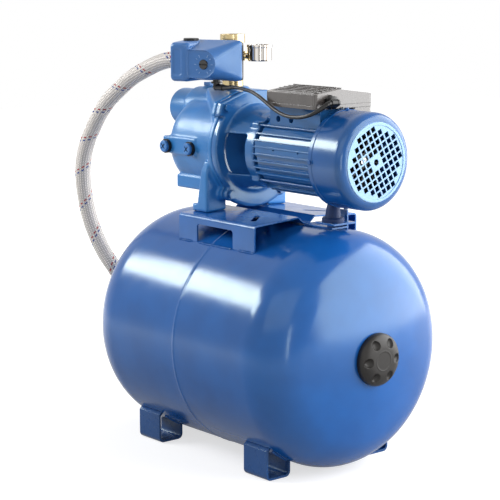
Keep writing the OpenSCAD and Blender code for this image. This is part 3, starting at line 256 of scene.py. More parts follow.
# %% Strain reliefs
# In metres: thickness over the cord, what the boot's end has more, and the ribs' height and pitch.
RELIEF_WALL, RELIEF_FLARE, RIB_HEIGHT, RIB_PITCH = 0.0002, 0.0012, 0.00025, 0.004
reliefs = []
for end, rows in (("switch", slice(0, 24)), ("motor", slice(-1, -25, -1))):
    run = np.abs(lead_at[rows] - lead_at[rows][0])
    ribs = RIB_HEIGHT * np.cos(2 * np.pi * run / RIB_PITCH)
    taper = LEAD_R + RELIEF_FLARE * (1 - run / run[-1]) + RELIEF_WALL + ribs
    reliefs.append(tube("relief_" + end, lead_line[rows], run, taper, 24, (0, 0, 1)))
    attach(reliefs[-1], "set")
print("reliefs", round(float(run[-1]) * 1000), "mm long")

# %% [markdown]
# ## Tank
# The tank is two deep-drawn steel shells, butt welded round the middle, with a torispherical head:
# a straight part, a knuckle of small radius and a crown of large radius. The frame's own mesh has
# coarser facets, and gloss shows each one. So the skin is the same meridian turned about the tank's
# axis in fine steps, and the weld bead swells and sinks as its puddles froze.

# %% Tank shells
TANK_R, STRAIGHT, CROWN_R, KNUCKLE_R, WALL = 195.0, 172.0, 450.0, 85.0, 1.6
knuckle_c = TANK_R - KNUCKLE_R
crown_c = math.sqrt((CROWN_R - KNUCKLE_R) ** 2 - knuckle_c ** 2)
turn = math.degrees(math.atan2(knuckle_c, crown_c))
apex = STRAIGHT - crown_c + CROWN_R
print("head apex at", round(apex, 2), "mm, knuckle ends at", round(turn, 2), "degrees")


def meridian(inset, end_r, steps=48):
    """Half shell from weld to radius end_r, as (x, radius): straight, knuckle arc, crown arc."""
    straight = np.stack([np.linspace(0, STRAIGHT, 12)[1:-1], np.full(10, TANK_R - inset)], -1)
    knuckle = arc(STRAIGHT, knuckle_c, KNUCKLE_R - inset, 90, turn, steps)
    last = math.degrees(math.asin(end_r / (CROWN_R - inset)))
    crown = arc(STRAIGHT - crown_c, 0, CROWN_R - inset, turn, last, steps)[1:]
    return np.vstack([straight, knuckle, crown])


def puddles(angle, x, r):
    """Ripple of the weld bead, 0.12 cos(90 a + 2.2 cos 3a) mm times exp(-(x / 2.4)^2). Real puddles
    lie every 3 mm. They are drawn as 90 round the tank, every 14 mm, because finer ones can't be
    seen."""
    near = np.exp(-(x / 2.4) ** 2) * (r > TANK_R)
    return near * 0.12 * np.cos(90 * angle + 2.2 * np.cos(3 * angle))


TANK_COLUMNS, NECK_R, NECK_BORE, NECK_OUT = 400, 73, 46, 9
# The seam in section: 0.7 mm proud in the middle, level with the shell 4.2 mm beside it.
bead = [(0, TANK_R + 0.7), (1.2, TANK_R + 0.62), (2.4, TANK_R + 0.3), (3.4, TANK_R + 0.05),
        (4.2, TANK_R)]
tank_at = mm(0, 0, 200)
front_loop = np.vstack([bead, meridian(0, 0.5), meridian(WALL, 0.5)[::-1], [(0, TANK_R - WALL)]])
tank_front = spun("tank_front_skin", np.vstack([front_loop, front_loop[:1]]), tank_at,
                  TANK_COLUMNS, puddles)
neck = [(apex + NECK_OUT, NECK_R), (apex + NECK_OUT, NECK_BORE), (apex - NECK_OUT, NECK_BORE)]
rear_loop = np.vstack([bead, meridian(0, NECK_R), neck, meridian(WALL, NECK_BORE)[::-1],
                       [(0, TANK_R - WALL)]])
tank_rear = spun("tank_rear_skin", np.vstack([rear_loop, rear_loop[:1]]) * (-1, 1), tank_at,
                 TANK_COLUMNS, puddles)
for skin, node in ((tank_front, "tank_shell_front"), (tank_rear, "tank_shell_rear")):
    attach(skin, "set")
    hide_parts(node)
print("tank skins", [len(t.data.polygons) for t in (tank_front, tank_rear)])

# %% [markdown]
# The air valve's cap is a moulded dome with six thumb scoops. Its height over the tank is a rounded
# meridian, and a scoop lowers it by a smooth bump in angle and radius. Cutting the scoops out of a
# solid would leave sharp rims, and the moulded ones are soft.

# %% Air valve cap
CAP_R, CAP_H, FACE_R, LIP_H, RIM, CAP_COLUMNS = 42.5, 16.0, 17, 3, 2.4, 288
radii = np.concatenate([[0.3], np.linspace(1, 16, 16), np.linspace(FACE_R, CAP_R - RIM, 40),
                        CAP_R - RIM + RIM * np.sin(np.linspace(0, np.pi / 2, 10))[1:]])
angle = np.linspace(0, 2 * np.pi, CAP_COLUMNS, endpoint=False)
R, A = np.meshgrid(radii, angle, indexing="ij")


def cap_height(r, a):
    """Height over the tank's crown: 3 + 13 sqrt(1 - q^2) outside the flat face, q running from 0
    to 1 to the rim. A scoop takes off 5.6 (1 - across^2 - along^2)^0.7 within its ellipse, and the
    face carries a ring of height 0.45 exp(-((r - 15.8) / 0.9)^2)."""
    q = np.clip((r - FACE_R) / (CAP_R - FACE_R), 0, 1)
    dome = LIP_H + (CAP_H - LIP_H) * np.sqrt(np.clip(1 - q ** 2, 0, 1))
    off = np.abs((np.degrees(a) + 30) % 60 - 30)
    across = r * np.radians(off) / 7.6
    along = (r - 30) / 7.8
    scoop = 5.6 * np.clip(1 - across ** 2 - along ** 2, 0, None) ** 0.7
    ring = 0.45 * np.exp(-((r - 15.8) / 0.9) ** 2)
    return np.maximum(dome - scoop, 1.2) + ring


# Rows of the rest: the skirt goes straight down, then the underside runs in to the valve's hole.
low_x = np.array([*np.linspace(1, -1, 4), -1.0, -0.5])[:, None]
low_r = np.array([CAP_R] * 4 + [CAP_R - 3, 9])[:, None]
top = np.stack([cap_height(R, A), R * np.cos(A), R * np.sin(A)], -1)
low = np.stack([low_x + 0 * angle, low_r * np.cos(angle), low_r * np.sin(angle)], -1)
cap_grid = np.concatenate([top, low]) / 1000 + mm(apex, 0, 200)
cap_skin = surface("air_valve_cap_skin", cap_grid, caps=(True, True), crease=60)
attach(cap_skin, "valve_cap")
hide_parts("air_valve_cap")
print("cap", len(cap_skin.data.polygons), "faces")

# %% [markdown]
# ## Welds
# The saddle and the feet are held to the tank by fillet welds. Each bead follows the line where the
# sheet's edge meets the tank, and its radius ripples every 2.5 mm. The ripple is in the mesh and
# not only in the shading, because a bead stands proud enough to break the outline.

# %% Weld beads
def weld(name, line, radius=0.0021):
    """A bead along a line in metres. Its radius ripples as 1 + 0.14 cos(2 pi s / 2.5 mm), and over
    the last 3 mm of both ends it shrinks with the square root of the way that is left."""
    s = np.concatenate([[0], np.cumsum(np.linalg.norm(np.diff(line, axis=0), axis=1))])
    even = np.linspace(0, s[-1], int(s[-1] / 0.0006))
    path = np.stack([np.interp(even, s, line[:, k]) for k in range(3)], -1)
    ends = np.clip(np.minimum(even, s[-1] - even) / 0.003, 0.05, 1) ** 0.5
    size = radius * ends * (1 + 0.14 * np.cos(2 * np.pi * even / 0.0025))
    level = abs(path[-1, 2] - path[0, 2]) < 1e-4
    return tube(name, path, even, size, 12, (0.01, 0.1, 1) if level else (1, 0, 0))


# In millimetres: the saddle leg's place, the runs of bead along it, and the feet and their edges.
LEG_Y, BEAD_Y, SADDLE_RUNS = 112, 112.6, ((-88, -52), (-34, 50), (68, 107))
FEET_X, STRAP_EDGES, FOOT_BEAD_R = (-148, 136), (-28.5, 28.5), 0.0017
leg_z = 200 + math.sqrt(TANK_R ** 2 - LEG_Y ** 2)
saddle_welds = joined("saddle_welds", [
    weld("bead", np.array([mm(x, side * BEAD_Y, leg_z - 0.2) for x in run]))
    for side in (-1, 1) for run in SADDLE_RUNS])
foot_y = np.linspace(123, 92, 12)
foot_z = 200 - np.sqrt(TANK_R ** 2 - foot_y ** 2)
foot_welds = joined("foot_welds", [
    weld("bead", np.array([mm(x + edge, side * y, z - 0.6) for y, z in zip(foot_y, foot_z)]),
         FOOT_BEAD_R)
    for x in FEET_X for side in (-1, 1) for edge in STRAP_EDGES])
for piece in (saddle_welds, foot_welds):
    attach(piece, "set")
print("weld beads", len(saddle_welds.data.polygons) + len(foot_welds.data.polygons), "faces")

# %% [markdown]
# ## Pressure switch cover
# The cover is one moulding: slopes run from a rounded rim up to a D-shaped panel round the knob,
# and the electric end stands up as a rounded block. Rim and panel are two outlines with equal
# numbers of points, matched corner to corner, and the slopes are the straight lines between them.

# %% Switch cover
# In millimetres: the gauge's middle, and how far out from the fitting the switch's base lies. A
# stretch of an outline has 30 points.
GAUGE = FITTING + 51.5 * to_gauge + (0, 0, 15)
BASE_OUT, STRETCH = 35, 30


def with_fitting(middle, points):
    """Points (towards the switch, towards the gauge, up) in millimetres from a middle, turned with
    the fitting and carried into the frame."""
    points = np.asarray(points, float)
    place = middle + points[..., :1] * to_switch + points[..., 1:2] * to_gauge
    return (place + points[..., 2:3] * (0, 0, 1)) / 1000 + (ROW_X, 0, 0)


def outline(right, r, top, left, bottom, arc_at=None):
    """Closed outline of 8 matched stretches, 30 points each: right side, corner, top, corner, left
    side, corner, bottom, corner, with corners of radius r. With arc_at (y, z, radius) the right
    side and its two corners are that circle."""
    def side(*ends):
        """Straight stretch a + (b - a) t, with t from 0 up to 1."""
        a, b = np.array(ends, float)
        return a + (b - a) * np.linspace(0, 1, STRETCH, endpoint=False)[:, None]

    def corner(cy, cz, start, stop, radius=r):
        """Circular stretch round (cy, cz), without its last point."""
        return arc(cy, cz, radius, start, stop, STRETCH + 1)[:-1]

    if arc_at:
        cy, cz, big = arc_at
        first = [corner(cy, cz, -16, 16, big), corner(cy, cz, 16, 90, big)]
        last = corner(cy, cz, -90, -16, big)
        top_right, low_right = (cy, cz + big), (cy, cz - big)
    else:
        first = [side((right, bottom + r), (right, top - r)), corner(right - r, top - r, 0, 90)]
        last = corner(right - r, bottom + r, 270, 360)
        top_right, low_right = (right - r, top), (right - r, bottom)
    return np.vstack([*first, side(top_right, (left + r, top)), corner(left + r, top - r, 90, 180),
                      side((left, top - r), (left, bottom + r)),
                      corner(left + r, bottom + r, 180, 270), side((left + r, bottom), low_right),
                      last])


def layer(out, ring):
    """One row of a surface: that outline, lifted that far out from the switch's base."""
    return np.column_stack([np.full(len(ring), BASE_OUT + out), ring])


# Right edge, corner radius, top, left edge and bottom, and for the panel the circle of its end.
rim = outline(37, 7, 36.5, -72.5, -31)
panel = outline(0, 3, 21.3, -46, -24.3, (-8, -1.5, 22.8))
KNOB_AT, KNOB_HOLE_R = np.array([-8, -2]), 8.0
from_knob = panel - KNOB_AT
knob_hole = KNOB_AT + KNOB_HOLE_R * from_knob / np.linalg.norm(from_knob, axis=1)[:, None]
print("rim and panel", len(rim), len(panel), "points")

# %% [markdown]
# Each row of the surface is a height out from the base and a share of the way from one outline to
# the next: first from the rim up to the panel, then over the panel's floor in to the knob's hole.
# The block is a stack of outlines too. Its top edge is rounded over 8 mm: an outline there draws in
# by the share 1 - sqrt(1 - t^2) of its full way, with t the part of the 8 mm that is passed.

# %% Cover and block
rows = [(0.0, 0.0), (2.6, 0.0), (3.4, 0.008), (4.0, 0.02)]
rows += [(4.0 + 47.0 * s, 0.02 + 0.965 * s) for s in np.linspace(0, 1, 26)[1:]]
rows += [(51.5, 0.992), (51.8, 1.0)]
slopes = [layer(d, rim + (panel - rim) * s) for d, s in rows]
floor_rows = [(51.7, 0.02), (50.9, 0.05), (50.5, 0.09), (50.5, 0.4), (50.5, 0.8), (50.5, 1.0),
              (49.5, 1.0), (44, 1.0)]
slopes += [layer(d, panel + (knob_hole - panel) * s) for d, s in floor_rows]
cover_body = surface("cover_body", with_fitting(FITTING, slopes), caps=(True, True), crease=50)

BLOCK_H, EDGE_R = 54, 8
SIDES_END = BLOCK_H - EDGE_R
block_rows = []
for d in np.concatenate([np.linspace(0, SIDES_END, 16),
                         SIDES_END + EDGE_R * np.sin(np.linspace(0, np.pi / 2, 14))[1:]]):
    bend = 1 - math.sqrt(max(0.0, 1 - (max(d - SIDES_END, 0) / EDGE_R) ** 2))
    block_rows.append(layer(d, outline(
        -35 - 11 * bend, 7, 36.5 - 3.5 * d / BLOCK_H - 4.5 * bend,
        -72.5 + 1.5 * d / BLOCK_H + 4.5 * bend, -31 + 4.5 * bend)))
ring = block_rows[-1][:, 1:]
for d, s in [(54.0, 0.1), (54.0, 0.17), (53.3, 0.22), (52.9, 0.28), (52.9, 0.6), (52.9, 0.95)]:
    block_rows.append(layer(d, ring + (ring.mean(0) - ring) * s))
cover_block = surface("cover_block", with_fitting(FITTING, block_rows), caps=(True, True),
                      crease=50)
switch_skin = joined("switch_cover_skin", [cover_body, cover_block])
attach(switch_skin, "set")
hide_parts("switch_cover")
print("switch cover", len(switch_skin.data.polygons), "faces")

# %% [markdown]
# Raised strokes round the knob show the pressure scale, and the gauge's dial has its own. There
# are no figures, only short bars along the radius, longer at the main marks. They could be drawn in
# the finish. Each is a small solid instead, so that it catches light and is kept in the mesh.

# %% Scale strokes
def stroke(middle, centre, ray, across, out, length, width, height):
    """A bar along a ray, in local millimetres: seven points over its width at height
    (1 - 0.35 t^2), a foot sunk 0.3 mm, and both ends drawn in."""
    t = np.linspace(-1, 1, 7)
    lift = height * (1 - 0.35 * t ** 2)
    rows = []
    for s, k in ((-1.0, 0.02), (-0.94, 1.0), (0.94, 1.0), (1.0, 0.02)):
        here = centre + ray * s * length / 2
        line = here + across * (t[:, None] * width / 2) + out * (lift[:, None] * k)
        foot = here + across * (t[::-1, None] * width / 2) - out * 0.3
        rows.append(np.vstack([line, foot]))
    return surface("stroke", with_fitting(middle, rows), caps=(True, True))


# Marks round the knob: 15.5 mm from its axis, on the panel at 85.5 mm out from the fitting.
MARKS, MARK_R, PANEL_OUT = (-60, -35, 0, 35, 60, 120, 145, 180, 215, 240), 15.5, 85.5
strokes = []
for degrees in MARKS:
    a = math.radians(degrees)
    ray = np.array([0, math.cos(a), math.sin(a)])
    strokes.append(stroke(FITTING, np.array([PANEL_OUT, *KNOB_AT]) + MARK_R * ray, ray,
                          np.array([0, -ray[2], ray[1]]), np.array([1.0, 0, 0]),
                          4.2 if degrees % 60 == 0 else 2.8, 0.9, 0.5))
switch_scale = joined("switch_scale", strokes)
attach(switch_scale, "set")

# Marks on the dial: 31 over 270 degrees, every fifth one longer and wider.
DIAL_R, DIAL_UP = 15.6, 27 / 2 - 8
strokes = []
for k in range(31):
    a = math.radians(-45 - 9 * k)
    ray, long = np.array([math.cos(a), math.sin(a), 0]), k % 5 == 0
    strokes.append(stroke(GAUGE, np.array([0, 0, DIAL_UP]) + (DIAL_R - 0.7 * long) * ray, ray,
                          np.array([-ray[1], ray[0], 0]), np.array([0, 0, 1.0]),
                          3.6 if long else 2.2, 0.6 if long else 0.35, 0.12))
gauge_scale = joined("gauge_scale", strokes)
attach(gauge_scale, "set")
print("scales", len(switch_scale.data.polygons), len(gauge_scale.data.polygons), "faces")

# %% [markdown]
# ## Castings
# The pump body and the adapter are sand castings, and a casting has no sharp edge: the sand rounds
# every one by some 3 mm. The solids keep their edges sharp for measuring. So each casting is
# redrawn from a copy of its solid, in small even cells, and the cells are evened out until the
# edges are round. A bevel would need clean edges, which the many joined shapes don't have.

# %% Castings
def casting(name, node, cell, passes):
    """The solid's surface cut into cells of that size, and each point then moved halfway to the
    middle of its neighbours, that many times."""
    piece = link(name, nodes[node].data.copy())
    shell = bmesh.new()
    shell.from_mesh(piece.data)
    bmesh.ops.remove_doubles(shell, verts=shell.verts, dist=1e-6)
    shell.to_mesh(piece.data)
    shell.free()
    cells = piece.modifiers.new("cells", "REMESH")
    cells.mode = "VOXEL"
    cells.voxel_size = cell
    cells.use_smooth_shade = True
    even = piece.modifiers.new("rounded edges", "SMOOTH")
    even.factor = 0.5
    even.iterations = passes
    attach(piece, "set")
    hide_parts(node)
    return piece


CELL, PASSES = 0.0018, 7
body_casting = casting("pump_body_casting", "pump_body", CELL, PASSES)
adapter_casting = casting("adapter_casting", "adapter", CELL, PASSES)
for piece in (body_casting, adapter_casting):
    made = piece.evaluated_get(bpy.context.evaluated_depsgraph_get()).to_mesh()
    print(piece.name, len(made.vertices), "points",
          sum(len(f.vertices) - 2 for f in made.polygons), "triangles")

# %% [markdown]
# ## Finishes
# A finish is a small network of shader nodes. Every one reads Object coordinates, so its grain
# stays on the piece, and its scales are real millimetres. Pictures would need unwrapped meshes and
# blur close up. One helper adds a node and joins its inputs.


# %% Material helpers
def paint_hex(code):
    """Colour written as sRGB hex, turned into the linear values that a shader takes."""
    srgb = np.array([int(code[k:k + 2], 16) for k in (1, 3, 5)]) / 255
    linear = np.where(srgb <= 0.04045, srgb / 12.92, ((srgb + 0.055) / 1.055) ** 2.4)
    return (*map(float, linear), 1.0)


def add(tree, kind, inputs=None, **settings):
    """One shader node: settings are its own options, and inputs are sockets to join, sRGB hex
    colours or plain values."""
    made = tree.nodes.new("ShaderNode" + kind)
    for key, value in settings.items():
        setattr(made, key, value)
    for key, value in (inputs or {}).items():
        if isinstance(value, bpy.types.NodeSocket):
            tree.links.new(value, made.inputs[key])
        else:
            made.inputs[key].default_value = paint_hex(value) if isinstance(value, str) else value
    return made


def blank(name):
    """An empty material with its shader, its output and Object coordinates."""
    material = bpy.data.materials.new(name)
    material.use_nodes = True
    tree = material.node_tree
    tree.nodes.clear()
    shader = add(tree, "BsdfPrincipled")
    add(tree, "OutputMaterial", {"Surface": shader.outputs[0]})
    return material, tree, shader, add(tree, "TexCoord").outputs["Object"]


def grains(size_mm):
    """Noise scale whose grains are about that many millimetres across."""
    return 1000 / size_mm


def clouded(tree, shader, tone, wear, dark, light, smooth, dull):
    """Colour that runs from dark to light over 0.35 to 0.65 of the noise tone, and roughness that
    runs from smooth to dull over 0.3 to 0.7 of the noise wear."""
    shade = add(tree, "MapRange", {"Value": tone, "From Min": 0.35, "From Max": 0.65})
    colour = add(tree, "Mix", {"Factor": shade.outputs[0], "A": dark, "B": light},
                 data_type="RGBA")
    gloss = add(tree, "MapRange", {"Value": wear, "From Min": 0.3, "From Max": 0.7,
                                   "To Min": smooth, "To Max": dull})
    tree.links.new(colour.outputs["Result"], shader.inputs["Base Color"])
    tree.links.new(gloss.outputs[0], shader.inputs["Roughness"])


def rounded_bump(tree, shader, height, depth_mm, edge_mm):
    """Surface relief of that depth over edges that catch light as if rounded to that radius."""
    normal = {}
    if edge_mm:
        rounded = add(tree, "Bevel", {"Radius": edge_mm / 1000}, samples=6)
        normal["Normal"] = rounded.outputs[0]
    bump = add(tree, "Bump", {"Height": height, "Distance": depth_mm / 1000, "Strength": 1.0,
                              **normal})
    tree.links.new(bump.outputs[0], shader.inputs["Normal"])


print("a grain of 1 mm has noise scale", grains(1))

# %% [markdown]
# ### Paint
# Tank, castings and sheet parts share one blue, but not one surface. The tank's skin is smooth with
# a faint orange peel, the castings keep sand grain under their paint, and the pressed sheet lies
# between. So one function takes the grain's size and depth, the gloss and the edge radius.


# %% Blue paints
def paint(name, light, dark, rough, peel_mm, peel_depth_mm, cast_mm=0, cast_depth_mm=0,
          edge_mm=0.8, coat=0.1):
    """Paint over metal. Colour drifts in clouds of 70 mm and gloss in patches of 25 mm. The relief
    is orange peel times its depth plus, on a casting, sand grain times its depth."""
    material, tree, shader, place = blank(name)
    clouds = add(tree, "TexNoise", {"Vector": place, "Scale": grains(70), "Detail": 3.0})
    wear = add(tree, "TexNoise", {"Vector": place, "Scale": grains(25), "Detail": 5.0})
    clouded(tree, shader, clouds.outputs["Fac"], wear.outputs["Fac"], dark, light,
            rough * 0.85, rough * 1.2)
    peel = add(tree, "TexNoise", {"Vector": place, "Scale": grains(peel_mm), "Detail": 2.0})
    height = add(tree, "Math", {0: peel.outputs["Fac"], 1: peel_depth_mm}, operation="MULTIPLY")
    if cast_mm:
        sand = add(tree, "TexNoise", {"Vector": place, "Scale": grains(cast_mm), "Detail": 4.0,
                                      "Roughness": 0.6})
        height = add(tree, "Math", {0: sand.outputs["Fac"], 1: cast_depth_mm,
                                    2: height.outputs[0]}, operation="MULTIPLY_ADD")
    rounded_bump(tree, shader, height.outputs[0], 1.0, edge_mm)
    shader.inputs["Specular Tint"].default_value = (0.8, 1.0, 0.95, 1.0)
    shader.inputs["Coat Weight"].default_value = coat
    shader.inputs["Coat Roughness"].default_value = 0.08
    return material


# Enamel, sprayed on smooth steel and baked: long highlights with nearly sharp ends.
tank_blue = paint("blue enamel on the tank", "#1557a2", "#134f96", 0.18, 2.2, 0.008, edge_mm=0,
                  coat=0)
# Paint over sand-cast iron: the grain shows through, and highlights are broad and broken.
cast_blue = paint("blue paint on cast iron", "#2a78bf", "#246daf", 0.34, 1.4, 0.03, 4.0, 0.2, 3.0)
# Paint over the finely cast motor frame: each fin has a narrow bright edge.
frame_blue = paint("blue paint on the ribbed frame", "#2967a8", "#225a96", 0.17, 1.2, 0.02, 3.0,
                   0.06, 0.8)
# Paint on bent sheet: flat and even, and only the bends catch the light.
sheet_blue = paint("blue paint on bent sheet", "#1c60ae", "#18559c", 0.2, 1.8, 0.012, edge_mm=0.8)
# Moulded ABS in the paint's blue: satin, with a fine spark-eroded grain.
box_blue = paint("blue moulded switch cover", "#3b6bab", "#35639f", 0.34, 0.9, 0.02, edge_mm=1.0,
                 coat=0.1)
# Paint on screw plugs: rubbed half matt by hands and tools.
plug_blue = paint("blue paint on plugs", "#3a79bf", "#2f69ac", 0.33, 1.0, 0.03, edge_mm=0.6)
# Paint on the strap feet: the sheet's blue made darker as painted shade, for the shade the feet
# stand in under the tank, with soft highlights on the bends.
shaded_strap_blue = paint("blue paint on the strap feet", "#124684", "#0f3d74", 0.27, 1.8, 0.012,
                   edge_mm=0.8)
# Paint on the pressed fan cover: smooth, with one long highlight over the shoulder.
cover_blue = paint("blue paint on the fan cover", "#11529a", "#0e4988", 0.2, 1.8, 0.012,
                   edge_mm=0.8)
print("nodes in smooth and cast paint:", len(tank_blue.node_tree.nodes),
      len(cast_blue.node_tree.nodes))

# %% [markdown]
# ### Metals
# Brass keeps turning marks, zinc-plated steel is brushed and cloudy, chrome is nearly a mirror.
# A metal's colour is its reflection, so Metallic is 1 and the base colour is what it reflects.


# %% Metals
def metal(name, light, dark, rough, brush_mm=1.0, depth_mm=0.01, edge_mm=0.4):
    """Bare metal. Colour and gloss drift together in patches of 9 mm, and the relief is the
    brush's noise times its depth."""
    material, tree, shader, place = blank(name)
    patch = add(tree, "TexNoise", {"Vector": place, "Scale": grains(9), "Detail": 4.0})
    clouded(tree, shader, patch.outputs["Fac"], patch.outputs["Fac"], dark, light,
            rough * 0.8, rough * 1.3)
    brush = add(tree, "TexNoise", {"Vector": place, "Scale": grains(brush_mm), "Detail": 3.0})
    rounded_bump(tree, shader, brush.outputs["Fac"], depth_mm, edge_mm)
    shader.inputs["Metallic"].default_value = 1.0
    return material


# Turned brass: warm and bright, with highlights broken by the tool's marks.
brass = metal("turned brass", "#d2c095", "#bea97b", 0.2)
# Zinc plating: cool grey with cloudy, half dull highlights.
zinc = metal("zinc plated steel", "#c2c4c6", "#9ea1a5", 0.3)
# Chrome plate: nearly a mirror. The bands laid on it below are painted reflection of the room, and
# show that the case is round.
chrome = metal("chrome plate", "#d9d4cf", "#cdc8c3", 0.05, depth_mm=0.003)
# Ground steel: bright, a little softer than chrome.
bright_steel = metal("ground steel", "#c4c6c9", "#aeb0b4", 0.25)
# Punched core sheet in a stack: dull grey, because each edge is a little off.
core_steel = metal("stacked core sheet", "#8b8d90", "#6f7174", 0.45, 0.5, 0.05)
# Enamelled copper wire: brownish red under a dull varnish, lumpy as the wires lie.
copper = metal("varnished copper winding", "#b06a3c", "#8c4f2a", 0.4, 1.2, 0.2)
print("nodes in a metal:", len(brass.node_tree.nodes))

# %% [markdown]
# The gauge's case is a drawn and plated cup. Its side shows upright bands, a shade lighter or
# darker: painted reflection of the room, laid into the chrome's colour. A noise of the angle round
# the case alone gives such bands.

# %% Gauge plating with painted reflection bands
gauge_at = with_fitting(GAUGE, [0, 0, 0])
case_tree = chrome.node_tree
case_place = add(case_tree, "SeparateXYZ", {0: add(case_tree, "TexCoord").outputs["Object"]})
from_axis = [add(case_tree, "Math", {0: case_place.outputs[k], 1: float(gauge_at[k])},
                 operation="SUBTRACT").outputs[0] for k in (0, 1)]
turn_round = add(case_tree, "Math", {0: from_axis[1], 1: from_axis[0]}, operation="ARCTAN2")
painted_reflection_bands = add(case_tree, "TexNoise", {"W": turn_round.outputs[0], "Scale": 3.7, "Detail": 2.0},
             noise_dimensions="1D")
band = add(case_tree, "MapRange", {"Value": painted_reflection_bands.outputs["Fac"], "From Min": 0.4,
                                   "From Max": 0.56})
# Painted reflection: the chrome's colour runs from dark to light, band by band, round the case.
plating = add(case_tree, "Mix", {"Factor": band.outputs[0], "A": "#6f675f", "B": "#e9e4de"},
              data_type="RGBA")
case_tree.links.new(plating.outputs["Result"],
                    case_tree.nodes["Principled BSDF"].inputs["Base Color"])
print("gauge plating laid round", [round(float(v), 4) for v in gauge_at])

# %% [markdown]
# ### Plastics and rubber
# Moulded plastic has a fine, even spark-eroded grain, and rubber a coarser and softer one. Enamel
# on dial and needle is made the same way, because at this size only its gloss counts.


# %% Plastics
def moulded(name, light, dark, rough, grain_mm=0.5, depth_mm=0.02, edge_mm=0.6, shine=0.5):
    """Moulded plastic, rubber or enamel. Colour and gloss drift together in patches of 30 mm, and
    the relief is the mould's grain times its depth. Shine 0.5 is the plain shader's reflection."""
    material, tree, shader, place = blank(name)
    patch = add(tree, "TexNoise", {"Vector": place, "Scale": grains(30), "Detail": 4.0})
    clouded(tree, shader, patch.outputs["Fac"], patch.outputs["Fac"], dark, light,
            rough * 0.9, rough * 1.15)
    grain = add(tree, "TexNoise", {"Vector": place, "Scale": grains(grain_mm), "Detail": 2.0})
    rounded_bump(tree, shader, grain.outputs["Fac"], depth_mm, edge_mm)
    shader.inputs["Specular IOR Level"].default_value = shine
    return material


# Filled nylon of fan, knob and switch base: dark satin.
black_plastic = moulded("black moulded plastic", "#2a2928", "#201f1f", 0.42)
# Glossy terminal box: dark where it faces the viewer, bright where it mirrors the room.
grey_plastic = moulded("grey moulded terminal box", "#453f3c", "#3e3936", 0.27, edge_mm=1.0,
                       shine=1.0)
# Polypropylene cap: waxy and soft, with pale rims round the scoops.
cap_plastic = moulded("black valve cap", "#181512", "#120f0d", 0.42, shine=0.35)
# Unfilled polyamide of terminals and contacts: chalky white.
white_plastic = moulded("white terminal plastic", "#e9e7e0", "#dfdcd3", 0.5)
# Smooth rubber of lead and boots: deep black with thin highlights.
rubber = moulded("black rubber", "#0d0d0e", "#090909", 0.3, 0.8, 0.02, shine=0.35)
# Butyl bag in the tank: matt, with a coarse leathery grain.
membrane = moulded("black butyl membrane", "#262626", "#1c1c1c", 0.55, 1.5, 0.05)
# Rubber foot, oversprayed in blue: dark and matt.
foot_rubber = moulded("dark blue rubber foot", "#14305e", "#10274e", 0.5, 0.8, 0.04, shine=0.25)
# Glass-filled plastic of impeller and guide parts: brownish grey satin.
impeller_plastic = moulded("moulded impeller plastic", "#3d3a36", "#33302d", 0.45)
# Lacquered dial: clean white with a soft sheen.
dial_white = moulded("white dial enamel", "#f2f1ec", "#e9e7e0", 0.4)
# Tips of the raised strokes, worn pale: they stand out from the cover's blue.
scale_blue = moulded("pale blue scale strokes", "#8fb2de", "#86a9d6", 0.4)
# Lacquered needle and dial strokes: plain black.
needle_black = moulded("black needle enamel", "#1c1c1c", "#141414", 0.4)
print("nodes in a plastic:", len(rubber.node_tree.nodes))

# %% [markdown]
# ### Glass
# The gauge's window is a clear disc. Full transmission with a low roughness is enough for it.

# %% Glass
# Float glass: clear, with one thin highlight and a ripple that only shows as it turns.
glass, glass_tree, glass_shader, glass_place = blank("clear gauge glass")
glass_shader.inputs["Base Color"].default_value = paint_hex("#f4f8f8")
glass_shader.inputs["Transmission Weight"].default_value = 1.0
glass_shader.inputs["Roughness"].default_value = 0.03
glass_ripple = add(glass_tree, "TexNoise", {"Vector": glass_place, "Scale": grains(8)})
rounded_bump(glass_tree, glass_shader, glass_ripple.outputs["Fac"], 0.004, 0)
print("glass", glass.name)

# %% [markdown]
# ### Steel braid
# The hose's jacket is woven from flat bundles of steel wire. Two families of strands climb the hose
# in a helix, one each way, and cross over and under like a chessboard. The tube's own UV counts
# strands: 20 go round, so their number fits without a seam. A red and a blue tracer thread run side
# by side with one family, in a coarser weave of ten, and show as dashes where they pass over.

# %% Strands
# Woven steel wire: the colour holds painted highlight on the crowns, painted shade in the gaps, and
# one family painted a shade darker, for the sheen that changes with the wire's direction. The real
# bundles are finer. They are drawn 20 each way and 0.9 mm deep, as coarse as they need to show.
braid, tree, shader, _ = blank("steel braid with tracers")
LEAD_ALONG = 0.066
STRANDS, THREADS = 20, 10
uv = add(tree, "UVMap", uv_map="UVMap")
split = add(tree, "SeparateXYZ", {0: uv.outputs[0]})
climb = add(tree, "Math", {0: split.outputs["Y"], 1: 1 / LEAD_ALONG}, operation="MULTIPLY")


def strand(way, count):
    """Strand number and place across the strand, -0.5 to 0.5, in one family of that many strands:
    count times (share round plus or minus turns along), split into its floor and its rest."""
    once = add(tree, "Math", {0: split.outputs["X"], 1: climb.outputs[0]}, operation=way)
    run = add(tree, "Math", {0: once.outputs[0], 1: float(count)}, operation="MULTIPLY").outputs[0]
    number = add(tree, "Math", {0: run}, operation="FLOOR").outputs[0]
    across = add(tree, "Math", {0: run}, operation="FRACT").outputs[0]
    return number, add(tree, "Math", {0: across, 1: 0.5}, operation="SUBTRACT").outputs[0]


def crown(across):
    """Rounded height of a strand, 0.9 - 3.6 a^2."""
    square = add(tree, "Math", {0: across, 1: across}, operation="MULTIPLY").outputs[0]
    return add(tree, "Math", {0: square, 1: -3.6, 2: 0.9}, operation="MULTIPLY_ADD").outputs[0]


